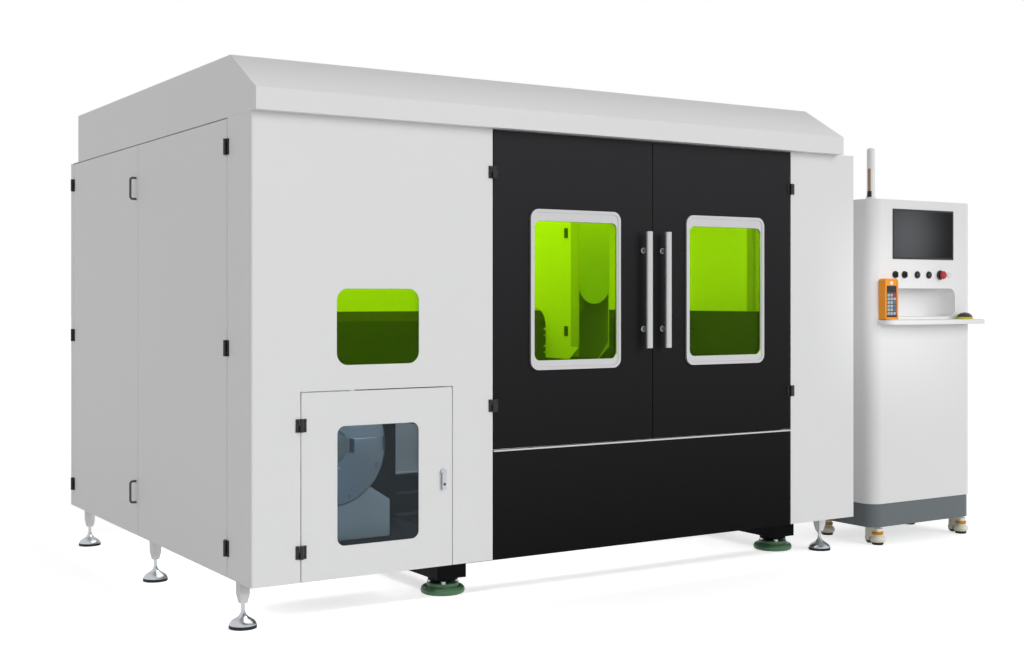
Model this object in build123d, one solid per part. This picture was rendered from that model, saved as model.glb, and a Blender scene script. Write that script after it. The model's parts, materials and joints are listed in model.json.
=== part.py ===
# Laser cutting machine: enclosed sheet and tube cutter with a free-standing control console
import os

from build123d import *

# Measuring frame, in millimetres: X from the enclosure's left face, Y from its front face, Z from the floor
body_width = 3030
body_depth = 2390
body_base = 180
body_top = 1890
sheet = 2
panel_depth = 22
door_depth = 20
door_gap = 4
tube = 40
tube_wall = 3
running_gap = 0.3
overrun = 10
corner_bend = 8

# Hood on the roof
hood_right_inset = 116
hood_rear_inset = 132
hood_overhang = 45
hood_front_height = 80
hood_height = 229
hood_slope_run = 249
hood_flange = 40

# Front doors, each a black leaf with a framed window, over a fixed lower panel
door_zone_left = 1017
right_panel_width = 409
lower_panel_top = 608
sill_height = 6
sill_lip = 4
window_inset = 170
window_seam_inset = 176
window_base = 926
window_height = 652
window_side_bar = 20
window_top_bar = 48
window_bottom_bar = 39
window_proud = 12
window_corner = 38
pane_corner = 26
pane_thickness = 6
pane_margin = 16
handle_offset = 51
handle_reach = 42
handle_radius = 15
handle_base = 1005
handle_length = 495
standoff_radius = 8
standoff_inset = 81

# Hinges with lift-off knuckles, proud of the faces they join
pin_reach = 8
pin_radius = 3
pin_clearance = 0.1
knuckle_radius = 7
hinge_plate = 4
hinge_plate_start = 8.5
hinge_half_width = 21
hinge_height = 49
side_hinge_height = 60
front_hinge_heights = (792, 1716)
access_hinge_heights = (291, 753)
side_hinge_heights = (290, 1032, 1779)
swing_limit = 110

# Front left panel: fixed window above, access door below
corner_return = 234
fixed_window_left = 336
fixed_window_width = 345
fixed_window_base = 969
fixed_window_height = 284
fixed_window_corner = 45
access_left = 194
access_width = 633
access_top = 872
access_pane_left = 338
access_pane_width = 342
access_pane_base = 299
access_pane_height = 444
access_pane_corner = 30
lever_x = 787
lever_top = 558
lever_length = 81
lever_width = 18
lever_thickness = 9
lever_boss_radius = 13
lever_boss_depth = 8
lever_spindle_radius = 5
lever_cam_length = 34
lever_cam_thickness = 4

# Left side doors and their pulls
side_seam_shift = 16
side_rear_margin = 50
pull_offset = 26
pull_heights = (370, 1697)
pull_length = 92
pull_reach = 26
pull_radius = 5

# Right side
right_return = 60
right_post_depth = 700

# Legs and levelling feet
leg_inset = 185
leg_base = 92
leg_taper_height = 34
leg_tip = 26
foot_radius = 50
foot_rim_height = 12
foot_rim_radius = 52
foot_dome_height = 34
foot_neck_radius = 13
stem_radius = 9

# Machine bed and its round mounts
bed_left = 970
bed_right_inset = 217
bed_beam_width = 136
bed_beam_height = 160
bed_base = 68
bed_front = 250
bed_rear_inset = 140
rail_beam_height = 110
rail_beam_top = 800
column_depth = 130
column_count = 4
cross_beam_height = 110
cross_beam_depth = 90
tie_thickness = 10
tie_width = 80
tie_front = 300
guard_thickness = 6
guard_top = 1150
mount_radius = 92
mount_height = 32
mount_lip_radius = 72
mount_dish_radius = 64
mount_dish_depth = 8
mount_bolts = 4
mount_bolt_circle = 54
mount_bolt_radius = 8
mount_bolt_head = 7
mount_neck_radius = 38
mount_flange_radius = 62
mount_flange_height = 12
mount_inset = 75
mount_rear_inset = 185
rail_width = 32
rail_height = 26
rail_end_margin = 60

# Slat table
slat_top = 860
slat_height = 110
slat_thickness = 4
slat_count = 13
slat_teeth = 15
slat_tooth_height = 26
slat_tooth_tip = 12
slat_front = 430
slat_rear_margin = 170
slat_end_gap = 18
ledge_width = 36
ledge_height = 24

# Gantry, carriage and cutting head
gantry_front = 1000
beam_depth = 160
beam_height = 249
beam_chamfer = 45
beam_left = 300
beam_wall = 8
saddle_length = 280
saddle_width = 120
saddle_height = 80
gantry_forward = 400
cross_rail_width = 20
cross_rail_height = 16
cross_rail_inset = 60
carriage_offset = 200
carriage_width = 180
carriage_front = 700
carriage_lift = 65
carriage_top = 1720
carriage_sheet = 4
carriage_toe_depth = 82
carriage_toe_height = 60
carriage_overreach = 10
notch_radius = 90
notch_gap = 13
cover_lift = 265
back_plate = 14
head_slide_height = 420
head_slide_drop = 40
head_slide_depth = 14
head_slide_width = 50
head_width = 96
head_depth = 110
head_rise = 110
head_height = 330
head_cone_height = 70
head_cone_radius = 34
nozzle_lift = 180
nozzle_radius = 6
nozzle_base_radius = 17
head_travel = 160

# Tube chuck behind the access door
chuck_x = 455
chuck_z = 634
chuck_front = 300
chuck_radius = 242
chuck_thickness = 50
chuck_rim = 10
chuck_bore = 70
hub_radius = 90
pedestal_depth = 190
pedestal_left = 250
pedestal_right = 738
pedestal_foot = 150
pedestal_ring = 85
pedestal_shoulder = 470
outrigger_left = 230
outrigger_height = 80
outrigger_base = 170
jaw_width = 56
jaw_height = 30
jaw_inner = 84
jaw_outer = 190
jaw_slot = 12
chuck_bolts = 8
chuck_bolt_radius = 9
chuck_bolt_circle = 216
chuck_bolt_head = 7

# Console cabinet
console_gap = 215
console_width = 746
console_front = 85
console_depth = 480
skirt_base = 91
skirt_height = 115
skirt_inset = 6
console_brow = 45
console_corner = 70
console_sheet = 3
recess_inset = 150
recess_width = 452
recess_gap = 13
recess_height = 142
recess_depth = 130
recess_corner = 40
recess_wall = 20
screen_inset = 142
screen_width = 445
screen_gap = 77
screen_height = 249
screen_thickness = 30
screen_proud = 3
screen_rim = 9
screen_sink = 2
shelf_inset = 40
shelf_width = 715
shelf_base = 1086
shelf_thickness = 24
shelf_reach = 112
shelf_bow = 34
shelf_corner = 45
shelf_lip = 6

# Controls in one row
control_gap = 68
button_insets = (318, 403)
selector_insets = (159, 225)
stop_inset = 488
port_inset = 556
port_radius = 11
port_proud = 4
ring_radius = 18
ring_height = 6
button_radius = 13
button_height = 12
button_travel = 4
selector_radius = 13
selector_height = 10
selector_grip_width = 8
selector_grip_height = 12
selector_turn = 45
stop_radius = 21
stop_cap_height = 16
stop_neck_radius = 12
stop_neck_height = 12
stop_travel = 5
control_shank_radius = 9
control_shank_length = 30
control_clearance = 0.4

# Pendant, mouse and signal mast
pendant_inset = 47
pendant_width = 84
pendant_gap = 16
pendant_height = 186
pendant_thickness = 38
pendant_corner = 18
pendant_cradle = 22
pendant_cradle_wall = 3
mouse_inset = 619
mouse_y = 38
mouse_length = 104
mouse_width = 62
mouse_height = 34
mast_inset = 81
mast_y = 170
mast_radius = 20
mast_height = 257
mast_base_radius = 34
mast_base_height = 26
mast_lens_start = 60
mast_lens_end = 235
mast_groove = 2

# Levelling castors
castor_inset_x = 80
castor_right_inset = 52
castor_inset_y = 70
collar_radius = 33
castor_gap = 0.5
castor_stem_length = 18
yoke_width = 46
yoke_front = 50
yoke_back = 38
yoke_top = 81
yoke_base = 36
yoke_cheek = 8
wheel_radius = 25
wheel_width = 26
wheel_axle_radius = 5
wheel_trail = 18
wheel_lift = 2
pad_radius = 22
pad_height = 10
pad_lead = 30
adjuster_radius = 21
adjuster_height = 11
adjuster_base = 18
castor_stem_radius = 7

# Worked out from the sizes above
frame_top = body_top - sheet
door_zone_right = body_width - right_panel_width - door_gap
leaf_width = (door_zone_right - door_zone_left - door_gap) / 2
window_width = leaf_width - window_inset - window_seam_inset
seam = door_zone_left + leaf_width + door_gap / 2
door_foot = lower_panel_top + sill_height + door_gap
door_head = frame_top - door_gap
access_right = access_left + access_width
hood_right = body_width - hood_right_inset
hood_rear = body_depth - hood_rear_inset
frame_left = panel_depth
frame_right = body_width - panel_depth
frame_front = panel_depth
frame_rear = body_depth - panel_depth
side_rear_edge = body_depth - side_rear_margin
side_seam = (corner_return + side_rear_edge) / 2 + side_seam_shift
leg_depths = (leg_inset, body_depth / 2, body_depth - leg_inset)
bed_right = body_width - bed_right_inset
bed_rear = body_depth - bed_rear_inset
slat_rear = bed_rear - slat_rear_margin
rail_top = rail_beam_top + rail_height
beam_base = rail_top + saddle_height
beam_top = beam_base + beam_height
beam_right = bed_right + saddle_width / 2
gantry_rear = gantry_front + beam_depth
gantry_back = bed_rear - rail_end_margin - gantry_front - saddle_length
rail_face = gantry_front - cross_rail_height - running_gap
carriage_x = seam + carriage_offset
carriage_base = slat_top + carriage_lift
carriage_left = carriage_x - chuck_x
carriage_right = bed_right - carriage_width / 2 - carriage_x
cover_bottom = carriage_base + cover_lift
nozzle_tip = slat_top + nozzle_lift
head_base = nozzle_tip + head_rise
head_slide_base = head_base - head_slide_drop
console_left = body_width + console_gap
console_right = console_left + console_width
console_rear = console_front + console_depth
cabinet_base = skirt_base + skirt_height
shelf_left = console_left + shelf_inset
shelf_top = shelf_base + shelf_thickness
recess_left = console_left + recess_inset
recess_base = shelf_top + recess_gap
control_row = recess_base + recess_height + control_gap
button_xs = [console_left + inset for inset in button_insets]
selector_xs = [console_left + inset for inset in selector_insets]
stop_x = console_left + stop_inset
port_x = console_left + port_inset
screen_left = console_left + screen_inset
screen_base = control_row + screen_gap
console_top = screen_base + screen_height + console_brow
pendant_left = console_left + pendant_inset
pendant_base = shelf_top + pendant_gap
mouse_x = console_left + mouse_inset
mast_x = console_left + mast_inset


def block(xs, ys, zs):
    spans = (xs, ys, zs)
    size = [span[1] - span[0] for span in spans]
    middle = [(span[0] + span[1]) / 2 for span in spans]
    return Pos(*middle) * Box(*size)


def rod(start, direction, radius, length):
    upright = (Align.CENTER, Align.CENTER, Align.MIN)
    return Plane(origin=start, z_dir=direction) * Cylinder(radius, length, align=upright)


def rounded_slab(xs, ys, zs, radius):
    middle = Pos((xs[0] + xs[1]) / 2, (zs[0] + zs[1]) / 2)
    face = Plane.XZ.offset(-ys[1]) * middle * RectangleRounded(xs[1] - xs[0], zs[1] - zs[0], radius)
    return extrude(face, amount=ys[1] - ys[0])


def prism_along_x(points, x_start, x_end):
    face = Plane.YZ.offset(x_start) * Polygon(*points, align=None)
    return extrude(face, amount=x_end - x_start, dir=(1, 0, 0))


def prism_along_z(points, z_start, z_end):
    face = Plane.XY.offset(z_start) * Polygon(*points, align=None)
    return extrude(face, amount=z_end - z_start, dir=(0, 0, 1))


def prism_along_y(points, y_start, y_end):
    face = Plane.XZ.offset(-y_end) * Polygon(*points, align=None)
    return extrude(face, amount=y_end - y_start, dir=(0, -1, 0))


def bent_sheet(points, outer, inner, z_start, z_end):
    plan = Polygon(*points, align=None)
    for corner, radius in ((outer, corner_bend), (inner, corner_bend - sheet)):
        plan = fillet(plan.vertices().sort_by_distance((*corner, 0))[0], radius)
    return extrude(Plane.XY.offset(z_start) * plan, amount=z_end - z_start, dir=(0, 0, 1))


def front_pan(xs, zs, depth):
    hollow = block((xs[0] + sheet, xs[1] - sheet), (sheet, depth + overrun), (zs[0] + sheet, zs[1] - sheet))
    return block(xs, (0, depth), zs) - hollow


def side_pan(ys, zs, depth):
    hollow = block((sheet, depth + overrun), (ys[0] + sheet, ys[1] - sheet), (zs[0] + sheet, zs[1] - sheet))
    return block((0, depth), ys, zs) - hollow


def square_tube(xs, ys, zs):
    spans = [xs, ys, zs]
    lengths = [span[1] - span[0] for span in spans]
    run = lengths.index(max(lengths))
    inner = [(span[0] + tube_wall, span[1] - tube_wall) for span in spans]
    inner[run] = (spans[run][0] - overrun, spans[run][1] + overrun)
    return block(*spans) - block(*inner)


# Enclosure

def tapered_leg(x_span, y_middle):
    y_span = (y_middle - tube / 2, y_middle + tube / 2)
    shoulder = leg_base + leg_taper_height
    shank = block(x_span, y_span, (shoulder, body_base))
    bore = block(
        (x_span[0] + tube_wall, x_span[1] - tube_wall),
        (y_span[0] + tube_wall, y_span[1] - tube_wall),
        (shoulder, body_base + overrun),
    )
    middle = Pos((x_span[0] + x_span[1]) / 2, y_middle)
    tip = Plane.XY.offset(leg_base) * middle * Rectangle(leg_tip, leg_tip)
    top = Plane.XY.offset(shoulder) * middle * Rectangle(tube, tube)
    return shank - bore + loft([tip, top])


def enclosure_frame():
    left = (frame_left, frame_left + tube)
    right = (frame_right - tube, frame_right)
    front = (frame_front, frame_front + tube)
    rear = (frame_rear - tube, frame_rear)
    low = (body_base, body_base + tube)
    high = (frame_top - tube, frame_top)
    upright = (low[1], high[0])
    across = (left[1], right[0])
    along = (front[1], rear[0])
    tubes = [square_tube(x, y, (body_base, frame_top)) for x in (left, right) for y in (front, rear)]
    for level in (low, high):
        tubes += [square_tube(across, y, level) for y in (front, rear)]
        tubes += [square_tube(x, along, level) for x in (left, right)]
    door_posts = (door_zone_left - door_gap, door_zone_right + door_gap)
    access_posts = (access_left - door_gap, access_right + door_gap)
    for first, last in (door_posts, access_posts):
        tubes.append(square_tube((first - tube, first), front, upright))
        tubes.append(square_tube((last, last + tube), front, upright))
    header = access_top + door_gap
    tubes.append(square_tube(door_posts, front, (lower_panel_top - tube, lower_panel_top)))
    tubes.append(square_tube(access_posts, front, (header, header + tube)))
    tubes.append(square_tube(left, (corner_return - tube, corner_return), upright))
    for depth in (right_post_depth, (right_post_depth + frame_rear) / 2):
        tubes.append(square_tube(right, centred(depth, tube), upright))
    for third in (1, 2):
        post = across[0] + (across[1] - across[0]) * third / 3
        tubes.append(square_tube((post - tube / 2, post + tube / 2), rear, upright))
    tubes.append(square_tube((hood_right - tube, hood_right), along, high))
    tubes.append(square_tube((left[1], hood_right - tube), (hood_rear - tube, hood_rear), high))
    tubes += [tapered_leg(x, depth) for x in (left, right) for depth in leg_depths]
    return tubes


def hood_profile(inset, base):
    front = inset - hood_overhang
    rear = hood_rear - inset
    eave = frame_top + hood_front_height - inset / 2
    ridge = frame_top + hood_height - inset
    crest = hood_slope_run - hood_overhang + inset / 2
    return [(front, base), (front, eave), (crest, ridge), (rear, ridge), (rear, base)]


def hood():
    shell = prism_along_x(hood_profile(0, frame_top), 0, hood_right)
    shell -= prism_along_x(hood_profile(sheet, frame_top + sheet), sheet, hood_right - sheet)
    mouth_x = (frame_left + hood_flange, hood_right - hood_flange)
    mouth_y = (frame_front + hood_flange, hood_rear - hood_flange)
    return shell - block(mouth_x, mouth_y, (frame_top - overrun, frame_top + overrun))


def front_left_panel():
    right = door_zone_left - door_gap
    outline = [
        (0, 0), (right, 0), (right, panel_depth), (right - sheet, panel_depth), (right - sheet, sheet),
        (sheet, sheet), (sheet, corner_return - sheet), (panel_depth, corner_return - sheet),
        (panel_depth, corner_return), (0, corner_return),
    ]
    panel = bent_sheet(outline, (0, 0), (sheet, sheet), body_base, frame_top)
    window = (fixed_window_left, fixed_window_left + fixed_window_width)
    window_z = (fixed_window_base, fixed_window_base + fixed_window_height)
    panel -= rounded_slab(window, (-overrun, panel_depth), window_z, fixed_window_corner)
    doorway = (access_left - door_gap, access_right + door_gap)
    doorway_top = access_top + door_gap
    cheek_x = (doorway[0] - sheet, doorway[1] + sheet)
    panel += block(cheek_x, (0, panel_depth), (body_base, doorway_top + sheet))
    return panel - block(doorway, (-overrun, panel_depth + overrun), (body_base - overrun, doorway_top))


def fixed_window():
    xs = (fixed_window_left - pane_margin, fixed_window_left + fixed_window_width + pane_margin)
    zs = (fixed_window_base - pane_margin, fixed_window_base + fixed_window_height + pane_margin)
    return rounded_slab(xs, (sheet, sheet + pane_thickness), zs, fixed_window_corner)


def front_right_panel():
    left = door_zone_right + door_gap
    outline = [
        (left, 0), (body_width, 0), (body_width, right_return), (body_width - panel_depth, right_return),
        (body_width - panel_depth, right_return - sheet), (body_width - sheet, right_return - sheet),
        (body_width - sheet, sheet), (left + sheet, sheet), (left + sheet, panel_depth), (left, panel_depth),
    ]
    return bent_sheet(outline, (body_width, 0), (body_width - sheet, sheet), body_base, frame_top)


def front_lower_panel():
    return front_pan((door_zone_left, door_zone_right), (body_base, lower_panel_top), panel_depth)


def door_sill():
    zs = (lower_panel_top, door_foot - door_gap)
    return block((door_zone_left, door_zone_right), (-sill_lip, panel_depth), zs)


def right_side_panel():
    outer = block((body_width - panel_depth, body_width), (right_return, frame_rear), (body_base, frame_top))
    hollow = block(
        (body_width - panel_depth - overrun, body_width - sheet),
        (right_return + sheet, frame_rear - sheet),
        (body_base + sheet, frame_top - sheet),
    )
    roof = block((hood_right, body_width), (0, frame_rear), (frame_top, body_top))
    return outer - hollow + roof


def rear_panel():
    fold = side_rear_edge + door_gap / 2
    outline = [
        (0, fold), (panel_depth, fold), (panel_depth, fold + sheet), (sheet, fold + sheet),
        (sheet, body_depth - sheet), (body_width - sheet, body_depth - sheet),
        (body_width - sheet, frame_rear), (body_width, frame_rear), (body_width, body_depth), (0, body_depth),
    ]
    roof_outline = [
        (0, hood_rear), (hood_right, hood_rear), (hood_right, frame_rear), (body_width, frame_rear),
        (body_width, body_depth), (0, body_depth),
    ]
    return prism_along_z(outline, body_base, frame_top) + prism_along_z(roof_outline, frame_top, body_top)


def levelling_foot(x, y):
    dome_top = foot_rim_height + foot_dome_height
    profile = make_face([
        Line((0, foot_rim_height), (foot_radius, foot_rim_height)),
        TangentArc((foot_radius, foot_rim_height), (foot_neck_radius, dome_top), tangent=(0, 1)),
        Line((foot_neck_radius, dome_top), (stem_radius, dome_top)),
        Line((stem_radius, dome_top), (stem_radius, leg_base)),
        Line((stem_radius, leg_base), (0, leg_base)),
        Line((0, leg_base), (0, foot_rim_height)),
    ])
    return Pos(x, y) * revolve(Plane.XZ * profile, Axis.Z)


def foot_places():
    columns = (frame_left + tube / 2, frame_right - tube / 2)
    return [(x, depth) for x in columns for depth in leg_depths]


def levelling_feet():
    return [levelling_foot(x, y) for x, y in foot_places()]


def foot_rims():
    return [rod((x, y, 0), (0, 0, 1), foot_rim_radius, foot_rim_height) for x, y in foot_places()]


# Hinges: the pin stands on the local Z axis, the faces that it joins lie pin_reach behind it

def hinge_plate_with_knuckle(side, height, z_span):
    face = (pin_reach - hinge_plate, pin_reach)
    reach = sorted((side * hinge_plate_start, side * hinge_half_width))
    tongue = sorted((0, side * hinge_plate_start))
    plate = block(reach, face, (-height / 2, height / 2))
    plate += block(tongue, face, z_span)
    return plate + rod((0, 0, z_span[0]), (0, 0, 1), knuckle_radius, z_span[1] - z_span[0])


def fixed_hinge_leaf(side, height):
    leaf = hinge_plate_with_knuckle(-side, height, (-height / 2, 0))
    return leaf + rod((0, 0, -height / 2), (0, 0, 1), pin_radius, height)


def moving_hinge_leaf(side, height):
    leaf = hinge_plate_with_knuckle(side, height, (running_gap, height / 2))
    bore_length = height / 2 + overrun
    return leaf - rod((0, 0, running_gap), (0, 0, 1), pin_radius + pin_clearance, bore_length)


def hinge_line(x, y, turn, side, heights, height, leaf_maker):
    return [Pos(x, y, z) * Rot(0, 0, turn) * leaf_maker(side, height) for z in heights]


left_door_axis = (door_zone_left - door_gap / 2, -pin_reach)
right_door_axis = (door_zone_right + door_gap / 2, -pin_reach)
access_axis = (access_left - door_gap / 2, -pin_reach)
side_front_axis = (-pin_reach, corner_return + door_gap / 2)
side_rear_axis = (-pin_reach, side_rear_edge)


def hinge_set(name, leaf_maker):
    lines = {
        "front_left": (*left_door_axis, 0, 1, front_hinge_heights, hinge_height),
        "front_right": (*right_door_axis, 0, -1, front_hinge_heights, hinge_height),
        "access": (*access_axis, 0, 1, access_hinge_heights, hinge_height),
        "side_front": (*side_front_axis, -90, -1, side_hinge_heights, side_hinge_height),
        "side_rear": (*side_rear_axis, -90, 1, side_hinge_heights, side_hinge_height),
    }
    return hinge_line(*lines[name], leaf_maker)


def fixed_hinge_leaves():
    names = ("front_left", "front_right", "access", "side_front", "side_rear")
    return [leaf for name in names for leaf in hinge_set(name, fixed_hinge_leaf)]


# Front doors: drawn for the left leaf, mirrored in the seam for the right one

def window_opening():
    left = door_zone_left + window_inset
    xs = (left + window_side_bar, left + window_width - window_side_bar)
    zs = (window_base + window_bottom_bar, window_base + window_height - window_top_bar)
    return xs, zs


def front_door_leaf():
    xs, zs = window_opening()
    leaf = front_pan((door_zone_left, door_zone_left + leaf_width), (door_foot, door_head), door_depth)
    return leaf - rounded_slab(xs, (-overrun, door_depth), zs, pane_corner)


def window_frame():
    xs, zs = window_opening()
    left = door_zone_left + window_inset
    outer_z = (window_base, window_base + window_height)
    frame = rounded_slab((left, left + window_width), (-window_proud, 0), outer_z, window_corner)
    front_edges = frame.faces().sort_by(Axis.Y)[0].edges()
    frame = chamfer(front_edges, window_proud / 3)
    return frame - rounded_slab(xs, (-window_proud - overrun, overrun), zs, pane_corner)


def window_pane():
    xs, zs = window_opening()
    wide = (xs[0] - pane_margin, xs[1] + pane_margin)
    tall = (zs[0] - pane_margin, zs[1] + pane_margin)
    return rounded_slab(wide, (sheet, sheet + pane_thickness), tall, pane_corner)


def bar_handle():
    x = seam - handle_offset
    bar = rod((x, -handle_reach, handle_base), (0, 0, 1), handle_radius, handle_length)
    bar = chamfer(bar.edges().filter_by(GeomType.CIRCLE), handle_radius / 10)
    for z in (handle_base + standoff_inset, handle_base + handle_length - standoff_inset):
        bar += rod((x, -handle_reach, z), (0, 1, 0), standoff_radius, handle_reach)
    return bar


def mirrored_in_seam(piece):
    return mirror(piece, about=Plane.YZ.offset(seam))


# Access door with its pane and turning lever

def access_door():
    zs = (access_pane_base, access_pane_base + access_pane_height)
    leaf = front_pan((access_left, access_right), (body_base, access_top), door_depth)
    xs = (access_pane_left, access_pane_left + access_pane_width)
    leaf -= rounded_slab(xs, (-overrun, door_depth), zs, access_pane_corner)
    pivot = (lever_x, -overrun, lever_top - lever_boss_radius)
    return leaf - rod(pivot, (0, 1, 0), lever_spindle_radius + running_gap, door_depth)


def access_pane():
    xs = (access_pane_left - pane_margin, access_pane_left + access_pane_width + pane_margin)
    zs = (access_pane_base - pane_margin, access_pane_base + access_pane_height + pane_margin)
    return rounded_slab(xs, (sheet, sheet + pane_thickness), zs, access_pane_corner)


def access_lever():
    pivot_z = lever_top - lever_boss_radius
    front = -running_gap - lever_boss_depth
    boss = rod((lever_x, front, pivot_z), (0, 1, 0), lever_boss_radius, lever_boss_depth)
    xs = (lever_x - lever_width / 2, lever_x + lever_width / 2)
    zs = (lever_top - lever_length, pivot_z)
    blade = rounded_slab(xs, (front - lever_thickness / 2, front + lever_thickness / 2), zs, lever_width / 3)
    back = sheet + running_gap
    spindle_length = back - front + lever_cam_thickness
    spindle = rod((lever_x, front, pivot_z), (0, 1, 0), lever_spindle_radius, spindle_length)
    cam = block(
        (lever_x - lever_spindle_radius, lever_x + lever_cam_length), (back, back + lever_cam_thickness),
        (pivot_z - lever_spindle_radius, pivot_z + lever_spindle_radius),
    )
    return boss + blade + spindle + cam


# Left side doors

def side_door_front():
    ys = (corner_return + door_gap, side_seam - door_gap / 2)
    return side_pan(ys, (body_base, door_head), door_depth)


def side_door_rear():
    ys = (side_seam + door_gap / 2, side_rear_edge - door_gap / 2)
    return side_pan(ys, (body_base, door_head), door_depth)


def side_pulls():
    y = side_seam + pull_offset
    pulls = []
    for z in pull_heights:
        path = FilletPolyline(
            (0, y, z - pull_length / 2), (-pull_reach, y, z - pull_length / 2),
            (-pull_reach, y, z + pull_length / 2), (0, y, z + pull_length / 2), radius=pull_radius * 2,
        )
        pulls.append(sweep(Plane(origin=path @ 0, z_dir=path % 0) * Circle(pull_radius), path=path))
    return pulls


# Machine bed, welded from beams and columns, with the guide rails on its two upper beams

def centred(middle, width):
    return (middle - width / 2, middle + width / 2)


def spread(first, last, count):
    return [first + (last - first) * step / (count - 1) for step in range(count)]


def machine_bed():
    lower = (bed_base, bed_base + bed_beam_height)
    upper = (rail_beam_top - rail_beam_height, rail_beam_top)
    length = (bed_front, bed_rear)
    rail_length = (bed_front + rail_end_margin, bed_rear - rail_end_margin)
    inner = (bed_left + bed_beam_width / 2, bed_right - bed_beam_width / 2)
    columns = spread(bed_front + column_depth / 2, bed_rear - column_depth / 2, column_count)
    pieces = []
    for x in (bed_left, bed_right):
        beam = centred(x, bed_beam_width)
        pieces += [block(beam, length, lower), block(beam, length, upper)]
        pieces += [block(beam, centred(y, column_depth), (lower[1], upper[0])) for y in columns]
        pieces.append(block(centred(x, rail_width), rail_length, (rail_beam_top, rail_top)))
    for y in columns:
        pieces.append(block(inner, centred(y, cross_beam_depth), (lower[1] - cross_beam_height, lower[1])))
    shelf = slat_top - slat_height
    for edge, inward in ((inner[0], ledge_width), (inner[1], -ledge_width)):
        ledge = sorted((edge, edge + inward))
        pieces.append(block(ledge, length, (shelf - ledge_height, shelf)))
    outrigger = (outrigger_base, outrigger_base + outrigger_height)
    outrigger_x = (outrigger_left, inner[0] - bed_beam_width)
    pieces.append(block(outrigger_x, (bed_front, bed_front + column_depth), outrigger))
    foot = chuck_front + chuck_thickness + running_gap
    plinth = (foot, foot + pedestal_depth)
    pieces.append(block((outrigger_left, pedestal_right), (bed_front + column_depth, plinth[1]), outrigger))
    dish = mount_height - mount_dish_depth
    for x, y in mount_places():
        neck = rod((x, y, dish), (0, 0, 1), mount_neck_radius, bed_base - mount_flange_height - dish)
        flange = (x, y, bed_base - mount_flange_height)
        pieces.append(neck + rod(flange, (0, 0, 1), mount_flange_radius, mount_flange_height))
    guard_x = (inner[1] + bed_beam_width, inner[1] + bed_beam_width + guard_thickness)
    pieces.append(block(guard_x, length, (lower[1] + tie_thickness, guard_top)))
    for y in (tie_front, bed_rear - tie_front):
        lug = (body_base + tube, body_base + tube + tie_thickness)
        pieces.append(block((inner[1] + bed_beam_width, frame_right), centred(y, tie_width), lug))
    return pieces


def mount_places():
    depths = (bed_front + mount_inset, bed_rear - mount_rear_inset)
    return [(x, y) for x in (bed_left, bed_right) for y in depths]


def bed_mount(x, y):
    dish = mount_height - mount_dish_depth
    bulge = mount_height / 2
    section = make_face([
        Line((0, 0), (mount_radius - bulge, 0)),
        ThreePointArc((mount_radius - bulge, 0), (mount_radius, bulge), (mount_radius - bulge, mount_height)),
        Line((mount_radius - bulge, mount_height), (mount_lip_radius, mount_height)),
        Line((mount_lip_radius, mount_height), (mount_dish_radius, dish)),
        Line((mount_dish_radius, dish), (0, dish)),
        Line((0, dish), (0, 0)),
    ])
    body = revolve(Plane.XZ * section, Axis.Z)
    for spot in PolarLocations(mount_bolt_circle, mount_bolts):
        head = Plane.XY.offset(dish) * RegularPolygon(mount_bolt_radius, 6)
        body += spot * extrude(head, amount=mount_bolt_head)
    return Pos(x, y) * body


def bed_mounts():
    return [bed_mount(x, y) for x, y in mount_places()]


def slat(y):
    left = bed_left + bed_beam_width / 2 + slat_end_gap
    right = bed_right - bed_beam_width / 2 - slat_end_gap
    pitch = (right - left) / slat_teeth
    root = slat_top - slat_tooth_height
    points = [(left, slat_top - slat_height), (left, root)]
    for tooth in range(slat_teeth):
        middle = left + pitch * (tooth + 1 / 2)
        points.append((middle - slat_tooth_tip / 2, slat_top))
        points.append((middle + slat_tooth_tip / 2, slat_top))
        points.append((left + pitch * (tooth + 1), root))
    points.append((right, slat_top - slat_height))
    return prism_along_y(points, y - slat_thickness / 2, y + slat_thickness / 2)


def cutting_slats():
    return [slat(y) for y in spread(slat_front, slat_rear, slat_count)]


# Gantry and what rides on it

def saddle(x):
    length = (gantry_front, gantry_front + saddle_length)
    base = rail_beam_top + rail_height / 3
    body = block(centred(x, saddle_width), length, (base, beam_base))
    channel = centred(x, rail_width + 2 * running_gap)
    ends = (length[0] - overrun, length[1] + overrun)
    return body - block(channel, ends, (base - overrun, rail_top + running_gap))


def cross_rail_heights():
    return (beam_base + cross_rail_inset, beam_top - beam_chamfer - cross_rail_inset)


def beam_section(inset):
    front = gantry_front + inset
    rear = gantry_rear - inset
    base = beam_base + inset
    top = beam_top - inset
    cut = beam_chamfer - inset / 2
    roof = [(front, top - cut), (front + cut, top), (rear - cut, top), (rear, top - cut)]
    return [(front, base), *roof, (rear, base)]


def gantry_beam():
    beam = prism_along_x(beam_section(0), beam_left, beam_right)
    beam -= prism_along_x(beam_section(beam_wall), beam_left - overrun, beam_right + overrun)
    for z in cross_rail_heights():
        ys = (gantry_front - cross_rail_height, gantry_front)
        beam += block((beam_left, beam_right), ys, centred(z, cross_rail_width))
    return beam + saddle(bed_left) + saddle(bed_right)


def carriage_side():
    notch_top = beam_top + notch_gap
    notch_start = (rail_face, notch_top - notch_radius)
    notch_end = (rail_face + notch_radius, notch_top)
    rear = gantry_rear + carriage_overreach
    toe_top = carriage_base + carriage_toe_height
    toe = [(carriage_front, toe_top), (carriage_front + carriage_toe_depth, carriage_base)]
    edge = Polyline(
        notch_end, (rear, notch_top), (rear, carriage_top), (carriage_front, carriage_top), *toe,
        (rail_face, carriage_base), notch_start,
    )
    return make_face([*edge.edges(), TangentArc(notch_start, notch_end, tangent=(0, 1))])


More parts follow.
